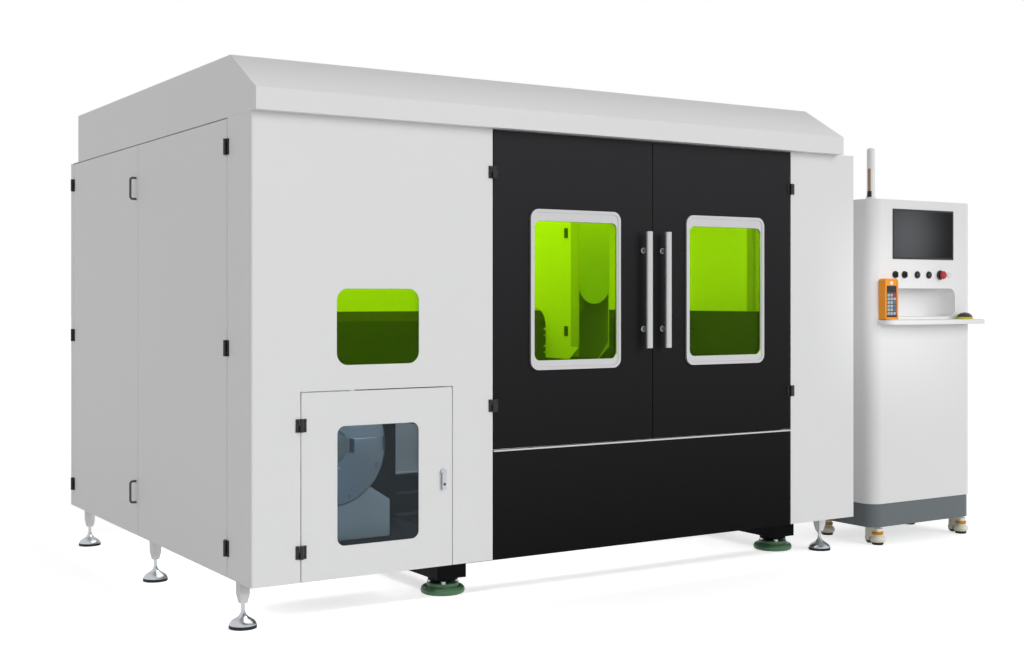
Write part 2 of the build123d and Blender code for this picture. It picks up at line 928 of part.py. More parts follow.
def carriage():
    xs = centred(carriage_x, carriage_width)
    inner = (xs[0] + carriage_sheet, xs[1] - carriage_sheet)
    ceiling = carriage_top - carriage_sheet
    box = extrude(Plane.YZ.offset(xs[0]) * carriage_side(), amount=carriage_width, dir=(1, 0, 0))
    bay = (carriage_front + carriage_sheet, rail_face - back_plate)
    box -= block(inner, bay, (carriage_base - overrun, ceiling))
    tail = (rail_face, gantry_rear + carriage_overreach + overrun)
    box -= block(inner, tail, (beam_top + notch_gap + carriage_sheet, ceiling))
    round_middle = cover_bottom + carriage_width / 2
    mouth = block(xs, (carriage_front, carriage_front + carriage_sheet), (carriage_base, round_middle))
    round_end = (carriage_x, carriage_front - overrun, round_middle)
    box -= mouth - rod(round_end, (0, 1, 0), carriage_width / 2, 2 * overrun)
    slide_y = (bay[1] - head_slide_depth, bay[1])
    slide_z = (head_slide_base, head_slide_base + head_slide_height)
    box += block(centred(carriage_x, head_slide_width), slide_y, slide_z)
    for z in cross_rail_heights():
        for away in (-1, 1):
            near = z + away * (cross_rail_width / 2 + running_gap)
            lip = sorted((near, near + away * cross_rail_width / 2))
            box += block(xs, (rail_face - back_plate, gantry_front - running_gap), lip)
    return box


def cutting_head():
    slide_face = rail_face - running_gap - back_plate - head_slide_depth
    ys = (slide_face - head_depth, slide_face)
    zs = (head_base, head_base + head_height)
    body = block(centred(carriage_x, head_width), ys, zs)
    shoulder = head_base - head_cone_height
    profile = Polyline(
        (0, nozzle_tip), (nozzle_radius, nozzle_tip), (nozzle_base_radius, shoulder),
        (head_cone_radius, shoulder), (head_cone_radius, head_base), (0, head_base), close=True,
    )
    lance = revolve(Plane.XZ * make_face(profile), Axis.Z)
    return body + Pos(carriage_x, (ys[0] + ys[1]) / 2) * lance


# Tube chuck: a turning plate with four jaws on a cast pedestal

def chuck_pedestal():
    front = chuck_front + chuck_thickness + running_gap
    base = outrigger_base + outrigger_height
    ring = hub_radius + pedestal_ring
    body = rod((chuck_x, front, chuck_z), (0, 1, 0), ring, pedestal_depth)
    body += prism_along_y(
        [(pedestal_left, base), (pedestal_right, base), (pedestal_right, base + pedestal_foot),
         (chuck_x + ring, pedestal_shoulder), (chuck_x + ring, chuck_z), (chuck_x - ring, chuck_z),
         (chuck_x - ring, pedestal_shoulder), (pedestal_left, base + pedestal_foot)],
        front, front + pedestal_depth,
    )
    bore_start = (chuck_x, front - overrun, chuck_z)
    return body - rod(bore_start, (0, 1, 0), hub_radius, pedestal_depth + 2 * overrun)


def chuck_plate():
    back = chuck_front + chuck_thickness
    disc = rod((0, 0, 0), (0, 0, 1), chuck_radius, chuck_thickness)
    disc = chamfer(disc.edges().filter_by(GeomType.CIRCLE), chuck_rim)
    disc += rod((0, 0, -pedestal_depth), (0, 0, 1), hub_radius - running_gap, pedestal_depth)
    bore_length = pedestal_depth + chuck_thickness + 2 * overrun
    disc -= rod((0, 0, -pedestal_depth - overrun), (0, 0, 1), chuck_bore, bore_length)
    slot_base = chuck_thickness - jaw_slot
    slot_run = (jaw_inner - overrun, chuck_radius - chuck_rim)
    for quarter in range(4):
        turn = Rot(0, 0, 90 * quarter)
        slot = block(slot_run, centred(0, jaw_width), (slot_base, chuck_thickness + overrun))
        jaw = block((jaw_inner, jaw_outer), centred(0, jaw_width), (slot_base, chuck_thickness + jaw_height))
        disc = disc - turn * slot + turn * jaw
    for spot in PolarLocations(chuck_bolt_circle, chuck_bolts, start_angle=180 / chuck_bolts):
        disc += spot * rod((0, 0, chuck_thickness), (0, 0, 1), chuck_bolt_radius, chuck_bolt_head)
    return Plane(origin=(chuck_x, back, chuck_z), x_dir=(1, 0, 0), z_dir=(0, -1, 0)) * disc


# Console: a cabinet on a skirt with castors, its controls, shelf, pendant, mouse and mast

def cabinet_plan(inset, rear_inset):
    left = console_left + inset
    right = console_right - inset
    front = console_front + inset
    radius = console_corner - inset
    rear = console_rear - rear_inset
    return make_face([
        Line((left, rear), (left, front + radius)),
        RadiusArc((left, front + radius), (left + radius, front), -radius),
        Line((left + radius, front), (right - radius, front)),
        RadiusArc((right - radius, front), (right, front + radius), -radius),
        Line((right, front + radius), (right, rear)),
        Line((right, rear), (left, rear)),
    ])


def upright_prism(plan, z_start, z_end):
    return extrude(Plane.XY.offset(z_start) * plan, amount=z_end - z_start, dir=(0, 0, 1))


def recess_block(grow):
    xs = (recess_left - grow, recess_left + recess_width + grow)
    zs = (recess_base - grow, recess_base + recess_height + grow)
    ys = (console_front - overrun, console_front + recess_depth + grow)
    pocket = block(xs, ys, zs)
    rear_edges = pocket.edges().filter_by(Axis.Z).group_by(Axis.Y)[-1]
    pocket = fillet(rear_edges, recess_depth - recess_wall + grow)
    return pocket & rounded_slab(xs, ys, zs, recess_corner + grow)


def control_spots():
    return [(x, control_shank_radius) for x in (*button_xs, *selector_xs, stop_x)] + [(port_x, port_radius)]


def console_cabinet():
    shell = upright_prism(cabinet_plan(0, 0), cabinet_base, console_top)
    hollow = upright_prism(
        cabinet_plan(console_sheet, console_sheet), cabinet_base + console_sheet, console_top - console_sheet
    )
    shell -= hollow - recess_block(console_sheet)
    shell -= recess_block(0)
    screen_x = (screen_left, screen_left + screen_width)
    screen_z = (screen_base, screen_base + screen_height)
    shell -= block(screen_x, (console_front - overrun, console_front + screen_thickness), screen_z)
    for x, radius in control_spots():
        hole = radius + control_clearance
        shell -= rod((x, console_front - overrun, control_row), (0, 1, 0), hole, 2 * overrun)
    cradle_x = (pendant_left - pendant_cradle_wall, pendant_left + pendant_width + pendant_cradle_wall)
    cradle_y = (console_front - pendant_thickness - pendant_cradle_wall, console_front)
    cradle_z = (pendant_base - pendant_cradle_wall, pendant_base + pendant_cradle)
    cradle = block(cradle_x, (cradle_y[0], console_front + console_corner / 2), cradle_z)
    cradle -= block(
        (pendant_left, pendant_left + pendant_width), (console_front - pendant_thickness, console_front),
        (pendant_base, cradle_z[1] + overrun),
    )
    cradle -= upright_prism(cabinet_plan(0, 0), cabinet_base, console_top)
    return shell + cradle


def console_skirt():
    outer = upright_prism(cabinet_plan(skirt_inset, skirt_inset), skirt_base, cabinet_base)
    wall = skirt_inset + console_sheet
    hollow = upright_prism(cabinet_plan(wall, wall), skirt_base + console_sheet, cabinet_base + overrun)
    skirt = outer - hollow
    for x, y in castor_places():
        skirt -= rod((x, y, skirt_base - overrun), (0, 0, 1), castor_stem_radius + running_gap, 2 * overrun)
    return skirt


def console_screen():
    xs = (screen_left, screen_left + screen_width)
    zs = (screen_base, screen_base + screen_height)
    front = console_front - screen_proud
    slab = block(xs, (front, console_front + screen_thickness), zs)
    glass_x = (xs[0] + screen_rim, xs[1] - screen_rim)
    glass_z = (zs[0] + screen_rim, zs[1] - screen_rim)
    return slab - block(glass_x, (front - overrun, front + screen_sink), glass_z)


def console_shelf():
    left = shelf_left
    right = shelf_left + shelf_width
    middle = (left + right) / 2
    side_front = console_front - shelf_reach + shelf_bow
    outline = make_face([
        Line((left, console_front), (left, side_front)),
        ThreePointArc((left, side_front), (middle, console_front - shelf_reach), (right, side_front)),
        Line((right, side_front), (right, console_front)),
        Line((right, console_front), (left, console_front)),
    ])
    shelf = upright_prism(outline, shelf_base, shelf_base + shelf_thickness)
    corners = shelf.edges().filter_by(Axis.Z).group_by(Axis.Y)[0]
    shelf = fillet(corners, shelf_corner)
    top_edges = shelf.faces().sort_by(Axis.Z)[-1].edges()
    rim = top_edges.filter_by(lambda edge: edge.center().Y < console_front - shelf_lip)
    return chamfer(rim, shelf_lip)


def control_ring(x):
    ring = rod((x, console_front - ring_height, control_row), (0, 1, 0), ring_radius, ring_height)
    hole = button_radius + control_clearance
    return ring - rod((x, console_front - 2 * ring_height, control_row), (0, 1, 0), hole, 3 * ring_height)


def control_rings():
    rings = [control_ring(x) for x in (*button_xs, *selector_xs, stop_x)]
    port_start = (port_x, console_front - port_proud, control_row)
    port = rod(port_start, (0, 1, 0), port_radius, port_proud + console_sheet)
    return rings + [port]


def control_shank(x, start):
    length = console_front - start + control_shank_length
    return rod((x, start, control_row), (0, 1, 0), control_shank_radius, length)


def push_button(x):
    front = console_front - button_height
    back = console_front - button_travel - running_gap
    cap = rod((x, front, control_row), (0, 1, 0), button_radius, back - front)
    return cap + control_shank(x, back)


def selector(x):
    front = console_front - selector_height
    back = console_front - running_gap
    knob = rod((x, front, control_row), (0, 1, 0), selector_radius, back - front)
    grip_y = (front - selector_grip_height, front)
    grip = block(centred(x, selector_grip_width), grip_y, centred(control_row, 2 * selector_radius))
    return knob + grip + control_shank(x, back)


def e_stop():
    back = console_front - stop_travel - running_gap
    cap_back = console_front - ring_height - stop_neck_height
    neck = rod((stop_x, cap_back, control_row), (0, 1, 0), stop_neck_radius, back - cap_back)
    cap = rod((stop_x, cap_back - stop_cap_height, control_row), (0, 1, 0), stop_radius, stop_cap_height)
    cap = fillet(cap.faces().sort_by(Axis.Y)[0].edges(), stop_cap_height / 2)
    return cap + neck + control_shank(stop_x, back)


def pendant():
    xs = (pendant_left, pendant_left + pendant_width)
    zs = (pendant_base, pendant_base + pendant_height)
    body = rounded_slab(xs, (console_front - pendant_thickness, console_front), zs, pendant_corner)
    return chamfer(body.faces().sort_by(Axis.Y)[0].edges(), pendant_corner / 3)


def mouse():
    rest = shelf_base + shelf_thickness
    outline = Pos(mouse_x, mouse_y) * Ellipse(mouse_length / 2, mouse_width / 2)
    shell = extrude(Plane.XY.offset(rest) * outline, amount=mouse_height)
    return fillet(shell.faces().sort_by(Axis.Z)[-1].edges(), mouse_height / 2)


def signal_mast():
    lens_radius = mast_radius - mast_groove
    profile = Polyline(
        (0, 0), (mast_base_radius, 0), (mast_radius, mast_base_height), (mast_radius, mast_lens_start),
        (lens_radius, mast_lens_start), (lens_radius, mast_lens_end), (mast_radius, mast_lens_end),
        (mast_radius, mast_height), (0, mast_height), close=True,
    )
    return Pos(mast_x, mast_y, console_top) * revolve(Plane.XZ * make_face(profile), Axis.Z)


def castor_places():
    columns = (console_left + castor_inset_x, console_right - castor_right_inset)
    rows = (console_front + castor_inset_y, console_rear - castor_inset_y)
    return [(x, y) for y in rows for x in columns]


def castor_yoke(x, y):
    axle_z = wheel_radius + wheel_lift
    slot = wheel_width / 2 + castor_gap
    cheek = slot + yoke_cheek
    yoke = block(centred(0, yoke_width), (-yoke_front, yoke_back), (yoke_base, yoke_top))
    yoke = fillet(yoke.edges().filter_by(Axis.Z), yoke_width / 3)
    boss_z = (axle_z - wheel_axle_radius * 2, yoke_base)
    yoke += block((-cheek, cheek), centred(wheel_trail, wheel_radius), boss_z)
    clear = wheel_radius + 2 * wheel_lift
    yoke -= block((-slot, slot), (wheel_trail - clear, wheel_trail + clear), (0, axle_z + clear))
    yoke += rod((-cheek, wheel_trail, axle_z), (1, 0, 0), wheel_axle_radius, 2 * cheek)
    yoke += rod((0, 0, yoke_top), (0, 0, 1), collar_radius, skirt_base - castor_gap - yoke_top)
    yoke += rod((0, 0, yoke_top), (0, 0, 1), castor_stem_radius, skirt_base - yoke_top + castor_stem_length)
    yoke += rod((0, -pad_lead, pad_height), (0, 0, 1), castor_stem_radius, yoke_base - pad_height)
    pad = rod((0, -pad_lead, 0), (0, 0, 1), pad_radius, pad_height)
    adjuster = rod((0, -pad_lead, adjuster_base), (0, 0, 1), adjuster_radius, adjuster_height)
    hole_start = (0, -pad_lead, adjuster_base - overrun)
    adjuster -= rod(hole_start, (0, 0, 1), castor_stem_radius, adjuster_height + 2 * overrun)
    return [Pos(x, y) * piece for piece in (yoke, pad, adjuster)]


def castor_wheel(x, y):
    axle_z = wheel_radius + wheel_lift
    wheel = rod((-wheel_width / 2, wheel_trail, axle_z), (1, 0, 0), wheel_radius, wheel_width)
    wheel = chamfer(wheel.edges().filter_by(GeomType.CIRCLE), wheel_lift)
    bore = wheel_axle_radius + running_gap
    return Pos(x, y) * (wheel - rod((-wheel_width, wheel_trail, axle_z), (1, 0, 0), bore, 2 * wheel_width))


# Every node with its pieces
nodes = {
    "enclosure_frame": enclosure_frame(),
    "hood": hood(),
    "front_left_panel": front_left_panel(),
    "front_right_panel": front_right_panel(),
    "front_lower_panel": front_lower_panel(),
    "door_sill": door_sill(),
    "right_side_panel": right_side_panel(),
    "rear_panel": rear_panel(),
    "fixed_window": fixed_window(),
    "levelling_feet": levelling_feet(),
    "foot_rims": foot_rims(),
    "fixed_hinge_leaves": fixed_hinge_leaves(),
    "left_door": front_door_leaf(),
    "left_window_frame": window_frame(),
    "left_window_pane": window_pane(),
    "left_handle": bar_handle(),
    "left_door_hinges": hinge_set("front_left", moving_hinge_leaf),
    "right_door": mirrored_in_seam(front_door_leaf()),
    "right_window_frame": mirrored_in_seam(window_frame()),
    "right_window_pane": mirrored_in_seam(window_pane()),
    "right_handle": mirrored_in_seam(bar_handle()),
    "right_door_hinges": hinge_set("front_right", moving_hinge_leaf),
    "access_door": access_door(),
    "access_pane": access_pane(),
    "access_hinges": hinge_set("access", moving_hinge_leaf),
    "access_lever": access_lever(),
    "side_door_front": side_door_front(),
    "side_front_hinges": hinge_set("side_front", moving_hinge_leaf),
    "side_door_rear": side_door_rear(),
    "side_rear_hinges": hinge_set("side_rear", moving_hinge_leaf),
    "side_pulls": side_pulls(),
    "machine_bed": machine_bed(),
    "bed_mounts": bed_mounts(),
    "cutting_slats": cutting_slats(),
    "gantry_beam": gantry_beam(),
    "carriage": carriage(),
    "cutting_head": cutting_head(),
    "chuck_pedestal": chuck_pedestal(),
    "chuck_plate": chuck_plate(),
    "console_cabinet": console_cabinet(),
    "console_skirt": console_skirt(),
    "console_screen": console_screen(),
    "console_shelf": console_shelf(),
    "control_rings": control_rings(),
    "emergency_stop": e_stop(),
    "pendant": pendant(),
    "mouse": mouse(),
    "signal_mast": signal_mast(),
}
for number, x in enumerate(button_xs, start=1):
    nodes[f"push_button_{number}"] = push_button(x)
for number, x in enumerate(selector_xs, start=1):
    nodes[f"selector_{number}"] = selector(x)
for number, (x, y) in enumerate(castor_places(), start=1):
    nodes[f"castor_{number}"] = castor_yoke(x, y)
    nodes[f"castor_wheel_{number}"] = castor_wheel(x, y)


def solids_of(piece):
    pieces = piece if isinstance(piece, list) else [piece]
    return [solid for item in pieces for solid in item.solids()]


# The part's own origin lies on the floor under the middle of the whole
solids = {name: solids_of(piece) for name, piece in nodes.items()}
boxes = [solid.bounding_box() for group in solids.values() for solid in group]
origin_x = (min(box.min.X for box in boxes) + max(box.max.X for box in boxes)) / 2
origin_y = (min(box.min.Y for box in boxes) + max(box.max.Y for box in boxes)) / 2
to_origin = Pos(-origin_x, -origin_y, 0)

os.makedirs("parts", exist_ok=True)
for name, group in solids.items():
    export_step(Compound([to_origin * solid for solid in group]), f"parts/{name}.step")
print(len(solids), "nodes written, origin at", round(origin_x, 3), round(origin_y, 3))
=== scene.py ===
import json
from math import cos, radians, sin

import bpy
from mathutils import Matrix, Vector


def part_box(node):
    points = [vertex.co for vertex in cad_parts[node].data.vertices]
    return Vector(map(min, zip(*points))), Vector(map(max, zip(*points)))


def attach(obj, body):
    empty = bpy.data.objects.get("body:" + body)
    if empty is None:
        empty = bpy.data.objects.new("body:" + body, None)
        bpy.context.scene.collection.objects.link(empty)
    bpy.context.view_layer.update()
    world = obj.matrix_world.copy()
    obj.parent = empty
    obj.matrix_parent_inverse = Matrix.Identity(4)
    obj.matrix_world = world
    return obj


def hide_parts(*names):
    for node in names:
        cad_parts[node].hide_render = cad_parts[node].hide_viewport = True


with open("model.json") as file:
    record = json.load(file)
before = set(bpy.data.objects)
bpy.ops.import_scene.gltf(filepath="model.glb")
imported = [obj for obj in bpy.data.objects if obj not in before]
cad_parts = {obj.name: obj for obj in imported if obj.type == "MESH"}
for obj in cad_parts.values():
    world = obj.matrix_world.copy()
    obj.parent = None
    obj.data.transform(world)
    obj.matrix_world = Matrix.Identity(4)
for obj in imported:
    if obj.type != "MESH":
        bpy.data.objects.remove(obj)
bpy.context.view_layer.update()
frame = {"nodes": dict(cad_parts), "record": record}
nodes = frame["nodes"]
slotOf = {part["node"]: part["material_slot"] for part in frame["record"]["subparts"]}
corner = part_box("front_left_panel")[0]  # front left lower corner of the enclosure, above the floor
originX, originY = corner.x, corner.y
print("frame loaded", len(nodes), "nodes")


# Colours are written as seen on screen and turned to linear here
def toLinear(hexColour):
    channels = [int(hexColour[start:start + 2], 16) / 255 for start in (1, 3, 5)]
    return tuple(c / 12.92 if c <= 0.04045 else ((c + 0.055) / 1.055) ** 2.4 for c in channels) + (1.0,)


def perMetre(millimetres):
    return 1000 / millimetres


# Places are in millimetres from the enclosure's front left corner and the floor, as on the drawing
def at(x, y, z):
    return Vector((x / 1000 + originX, y / 1000 + originY, z / 1000))


def addNode(tree, kind, settings=None, inputs=None, links=None):
    node = tree.nodes.new(kind)
    for name, value in (settings or {}).items():
        setattr(node, name, value)
    for name, value in (inputs or {}).items():
        node.inputs[name].default_value = value
    for name, source in (links or {}).items():
        tree.links.new(source, node.inputs[name])
    return node


def startMaterial(name, hexColour, roughness, metallic=0.0, **sockets):
    material = bpy.data.materials.new(name)
    material.use_nodes = True
    material.diffuse_color = toLinear(hexColour)
    tree = material.node_tree
    shader = tree.nodes["Principled BSDF"]
    shader.inputs["Base Color"].default_value = toLinear(hexColour)
    shader.inputs["Roughness"].default_value = roughness
    shader.inputs["Metallic"].default_value = metallic
    for socket, value in sockets.items():
        shader.inputs[socket.replace("_", " ")].default_value = value
    place = addNode(tree, "ShaderNodeTexCoord")
    return material, tree, shader, place.outputs["Object"]


# Camera where the photograph was taken from, in metres from the enclosure's front left corner
view = {"fromCorner": (-1.864, -4.652), "height": 1.221, "turn": 32.536, "lens": 48.54, "sensor": 36,
        "imageWidth": 1024, "imageHeight": 666, "horizonRow": 297.2, "farEnd": 200}
lens = bpy.data.cameras.new("photoCamera")
lens.lens = view["lens"]
lens.sensor_width = view["sensor"]
lens.shift_y = (view["horizonRow"] - view["imageHeight"] / 2) / view["imageWidth"]
lens.clip_end = view["farEnd"]
camera = bpy.data.objects.new("photoCamera", lens)
camera.location = (originX + view["fromCorner"][0], originY + view["fromCorner"][1], view["height"])
camera.rotation_euler = (radians(90), 0, radians(-view["turn"]))
bpy.context.collection.objects.link(camera)
bpy.context.scene.camera = camera
bpy.context.scene.view_settings.view_transform = "Standard"
print("camera set")


# Rays that meet the eye straight, off a mirror or through glass
def seenRays(tree):
    rays = addNode(tree, "ShaderNodeLightPath")
    seen = rays.outputs["Is Camera Ray"]
    for kind in ("Is Glossy Ray", "Is Transmission Ray"):
        either = addNode(tree, "ShaderNodeMath", {"operation": "MAXIMUM"},
                         links={0: seen, 1: rays.outputs[kind]})
        seen = either.outputs[0]
    return seen


# Soft studio: an even sky, one broad key from the front right, and a white floor
studio = {"sky": 0.655, "zenith": 0.4, "keyPower": 1.22, "keySoftness": 40, "keyTilt": 72, "keyTurn": 24,
          "floorSize": 160, "floorColour": "#e9e9e9", "floorRoughness": 0.9, "floorGlow": 0.62}
white = (1, 1, 1, 1)
world = bpy.data.worlds.new("studioSky")
bpy.context.scene.world = world
world.use_nodes = True
tree = world.node_tree
tree.nodes.clear()
seen = seenRays(tree)
compass = addNode(tree, "ShaderNodeTexCoord")
height = addNode(tree, "ShaderNodeSeparateXYZ", links={"Vector": compass.outputs["Generated"]})
dimming = addNode(tree, "ShaderNodeMapRange", inputs={"To Min": studio["sky"], "To Max": studio["zenith"]},
                  links={"Value": height.outputs["Z"]})  # the sky dims from the horizon up
skyLight = addNode(tree, "ShaderNodeBackground", inputs={"Color": white},
                   links={"Strength": dimming.outputs["Result"]})
backdrop = addNode(tree, "ShaderNodeBackground", inputs={"Color": white, "Strength": 1.0})
mixed = addNode(tree, "ShaderNodeMixShader",
                links={0: seen, 1: skyLight.outputs[0], 2: backdrop.outputs[0]})
addNode(tree, "ShaderNodeOutputWorld", links={"Surface": mixed.outputs[0]})

keyLight = bpy.data.lights.new("keyLight", "SUN")
keyLight.energy = studio["keyPower"]
keyLight.angle = radians(studio["keySoftness"])
key = bpy.data.objects.new("keyLight", keyLight)
key.visible_glossy = False  # a broad soft source, with no bright disc in the glass
key.rotation_euler = (radians(studio["keyTilt"]), 0, radians(studio["keyTurn"]))
bpy.context.collection.objects.link(key)

bpy.ops.object.select_all(action="DESELECT")
bpy.ops.mesh.primitive_plane_add(size=studio["floorSize"])
floor = bpy.context.object
floor.name = "studioFloor"
floorPaint, tree, shader, place = startMaterial(
    "studioFloorPaint", studio["floorColour"], studio["floorRoughness"],
    Specular_IOR_Level=0.0, Emission_Color=white)
glow = addNode(tree, "ShaderNodeMath", {"operation": "MULTIPLY"},
               {1: studio["floorGlow"]}, {0: seenRays(tree)})
tree.links.new(glow.outputs[0], shader.inputs["Emission Strength"])
floor.data.materials.append(floorPaint)
print("studio set")


# Powder coat: plastic powder melted onto sheet steel, so a matt skin with a fine orange peel and a slightly
# uneven tone. The peel is about 1 mm across; it is drawn coarser so that it shows at this distance.
powder = {"toneMm": 900, "peelStrength": 0.35, "smoother": 0.05, "rougher": 0.06}


def powderCoat(name, hexColour, toneColour, roughness, peelMm, peelDepth):
    material, tree, shader, place = startMaterial(name, hexColour, roughness, IOR=1.5)
    tone = addNode(tree, "ShaderNodeTexNoise", inputs={"Scale": perMetre(powder["toneMm"]), "Detail": 2.0},
                   links={"Vector": place})
    tint = addNode(tree, "ShaderNodeMix", {"data_type": "RGBA"}, links={"Factor": tone.outputs["Fac"]})
    tint.inputs["A"].default_value = toLinear(hexColour)
    tint.inputs["B"].default_value = toLinear(toneColour)
    tree.links.new(tint.outputs["Result"], shader.inputs["Base Color"])
    peel = addNode(tree, "ShaderNodeTexNoise", inputs={"Scale": perMetre(peelMm), "Detail": 2.0},
                   links={"Vector": place})
    bump = addNode(tree, "ShaderNodeBump",
                   inputs={"Strength": powder["peelStrength"], "Distance": peelDepth / 1000},
                   links={"Height": peel.outputs["Fac"]})
    tree.links.new(bump.outputs["Normal"], shader.inputs["Normal"])
    sheen = addNode(tree, "ShaderNodeMapRange",
                    inputs={"To Min": roughness - powder["smoother"],
                            "To Max": roughness + powder["rougher"]},
                    links={"Value": peel.outputs["Fac"]})
    tree.links.new(sheen.outputs["Result"], shader.inputs["Roughness"])
    return material


whitePowderCoat = powderCoat("whitePowderCoat", "#e9e9e9", "#e5e5e6", 0.52, 4, 0.08)
# The second colour of the black coat is its painted lighter top, which is tied to the height below
blackPowderCoat = powderCoat("blackPowderCoat", "#09090a", "#303032", 0.5, 2.5, 0.12)
greySkirtPaint = powderCoat("greySkirtPaint", "#656d6f", "#60686a", 0.5, 4, 0.08)
greyCastingPaint = powderCoat("greyCastingPaint", "#8d9296", "#868b90", 0.5, 9, 0.5)
greenCastingPaint = powderCoat("greenCastingPaint", "#4e7a55", "#3c6443", 0.34, 8, 0.6)

# Painted light and shade: the black doors are painted greyer toward their top and darker lower down, in
# place of how the studio light falls on them, so this coat's tone follows the height above the floor
doorPaintedShade = {"lean": (-0.12, 0.0, 1.0), "darkest": 0.1, "greyest": 1.95, "shine": 0.05}
tree = blackPowderCoat.node_tree
tree.nodes["Principled BSDF"].inputs["Specular IOR Level"].default_value = doorPaintedShade["shine"]
rise = addNode(tree, "ShaderNodeVectorMath", {"operation": "DOT_PRODUCT"}, {1: doorPaintedShade["lean"]},
               {0: tree.nodes["Texture Coordinate"].outputs["Object"]})
paintedLightByHeight = addNode(tree, "ShaderNodeMapRange",
                 inputs={"From Min": doorPaintedShade["darkest"], "From Max": doorPaintedShade["greyest"]},
                 links={"Value": rise.outputs["Value"]})
tree.links.new(paintedLightByHeight.outputs["Result"], tree.nodes["Mix"].inputs["Factor"])


# Brushed or drawn metal: fine straight scratches along one axis that stretch the highlights across them.
# The scratches are drawn 1 to 2 mm apart, coarser than the real ones.
brushing = {"stretch": 60, "smoother": 0.08, "rougher": 0.1, "strength": 0.2, "depth": 0.05}


def brushedMetal(name, hexColour, roughness, along, scratchMm, bareMetal=1.0):
    material, tree, shader, place = startMaterial(name, hexColour, roughness, metallic=bareMetal)
    grain = [perMetre(scratchMm)] * 3
    grain[along] = perMetre(scratchMm * brushing["stretch"])
    lengthwise = addNode(tree, "ShaderNodeMapping", inputs={"Scale": grain}, links={"Vector": place})
    scratch = addNode(tree, "ShaderNodeTexNoise", inputs={"Scale": 1.0, "Detail": 3.0},
                      links={"Vector": lengthwise.outputs["Vector"]})
    haze = addNode(tree, "ShaderNodeMapRange",
                   inputs={"To Min": roughness - brushing["smoother"],
                           "To Max": roughness + brushing["rougher"]},
                   links={"Value": scratch.outputs["Fac"]})
    tree.links.new(haze.outputs["Result"], shader.inputs["Roughness"])
    bump = addNode(tree, "ShaderNodeBump",
                   inputs={"Strength": brushing["strength"], "Distance": brushing["depth"] / 1000},
                   links={"Height": scratch.outputs["Fac"]})
    tree.links.new(bump.outputs["Normal"], shader.inputs["Normal"])
    return material


satinAluminium = brushedMetal("satinAluminium", "#cbcbcd", 0.42, 2, 1.5, 0.75)
drawnAluminium = brushedMetal("drawnAluminium", "#c9cacd", 0.38, 0, 1.5)
groundSteel = brushedMetal("groundSteel", "#a9adb1", 0.36, 0, 2)
anodisedAluminium = brushedMetal("anodisedAluminium", "#9b9ea3", 0.42, 2, 1)

# Chromed steel: mirror plating, with faint cloudy wipe marks in its polish
chromedSteel, tree, shader, place = startMaterial("chromedSteel", "#d8d9db", 0.12, metallic=1.0)
wipe = addNode(tree, "ShaderNodeTexNoise", inputs={"Scale": perMetre(40), "Detail": 3.0},
               links={"Vector": place})
polish = addNode(tree, "ShaderNodeMapRange", inputs={"To Min": 0.08, "To Max": 0.22},
                 links={"Value": wipe.outputs["Fac"]})
tree.links.new(polish.outputs["Result"], shader.inputs["Roughness"])

# Zinc plate: bright screws, bolts and feet with a slightly blue, patchy passivated skin
zincPlate, tree, shader, place = startMaterial("zincPlate", "#c2c6cb", 0.3, metallic=1.0)
patch = addNode(tree, "ShaderNodeTexNoise", inputs={"Scale": perMetre(6), "Detail": 2.0},
                links={"Vector": place})
dull = addNode(tree, "ShaderNodeMapRange", inputs={"To Min": 0.22, "To Max": 0.42},
               links={"Value": patch.outputs["Fac"]})
tree.links.new(dull.outputs["Result"], shader.inputs["Roughness"])

# Copper alloy of the cutting nozzle, turned and slightly heat stained
turnedCopper, tree, shader, place = startMaterial("turnedCopper", "#b97b52", 0.3, metallic=1.0)
heat = addNode(tree, "ShaderNodeTexNoise", inputs={"Scale": perMetre(12), "Detail": 2.0},
               links={"Vector": place})
stain = addNode(tree, "ShaderNodeMix", {"data_type": "RGBA"}, links={"Factor": heat.outputs["Fac"]})
stain.inputs["A"].default_value = toLinear("#c08558")
stain.inputs["B"].default_value = toLinear("#8d5a44")
tree.links.new(stain.outputs["Result"], shader.inputs["Base Color"])

# Hot rolled slat steel: dark mill scale with rust-brown heat marks
slatSteel, tree, shader, place = startMaterial("slatSteel", "#5c5a58", 0.55, metallic=1.0)
scale = addNode(tree, "ShaderNodeTexNoise", inputs={"Scale": perMetre(55), "Detail": 5.0},
                links={"Vector": place})
mill = addNode(tree, "ShaderNodeMix", {"data_type": "RGBA"}, links={"Factor": scale.outputs["Fac"]})
mill.inputs["A"].default_value = toLinear("#6b6a69")
mill.inputs["B"].default_value = toLinear("#4d443d")
tree.links.new(mill.outputs["Result"], shader.inputs["Base Color"])
bump = addNode(tree, "ShaderNodeBump", inputs={"Strength": 0.3, "Distance": 0.0004},
               links={"Height": scale.outputs["Fac"]})
tree.links.new(bump.outputs["Normal"], shader.inputs["Normal"])
print("metals ready")


# Moulded plastic: ABS or nylon from a spark-eroded mould, so an even satin skin with a fine leathery grain.
# The grain is about 0.3 mm; it is drawn near 1 mm so that it shows. Blackened or dull plated die castings,
# such as the hinges and pulls, show the same kind of skin.
moulding = {"grainStrength": 0.25, "handledMm": 35, "shineSwing": 0.07}


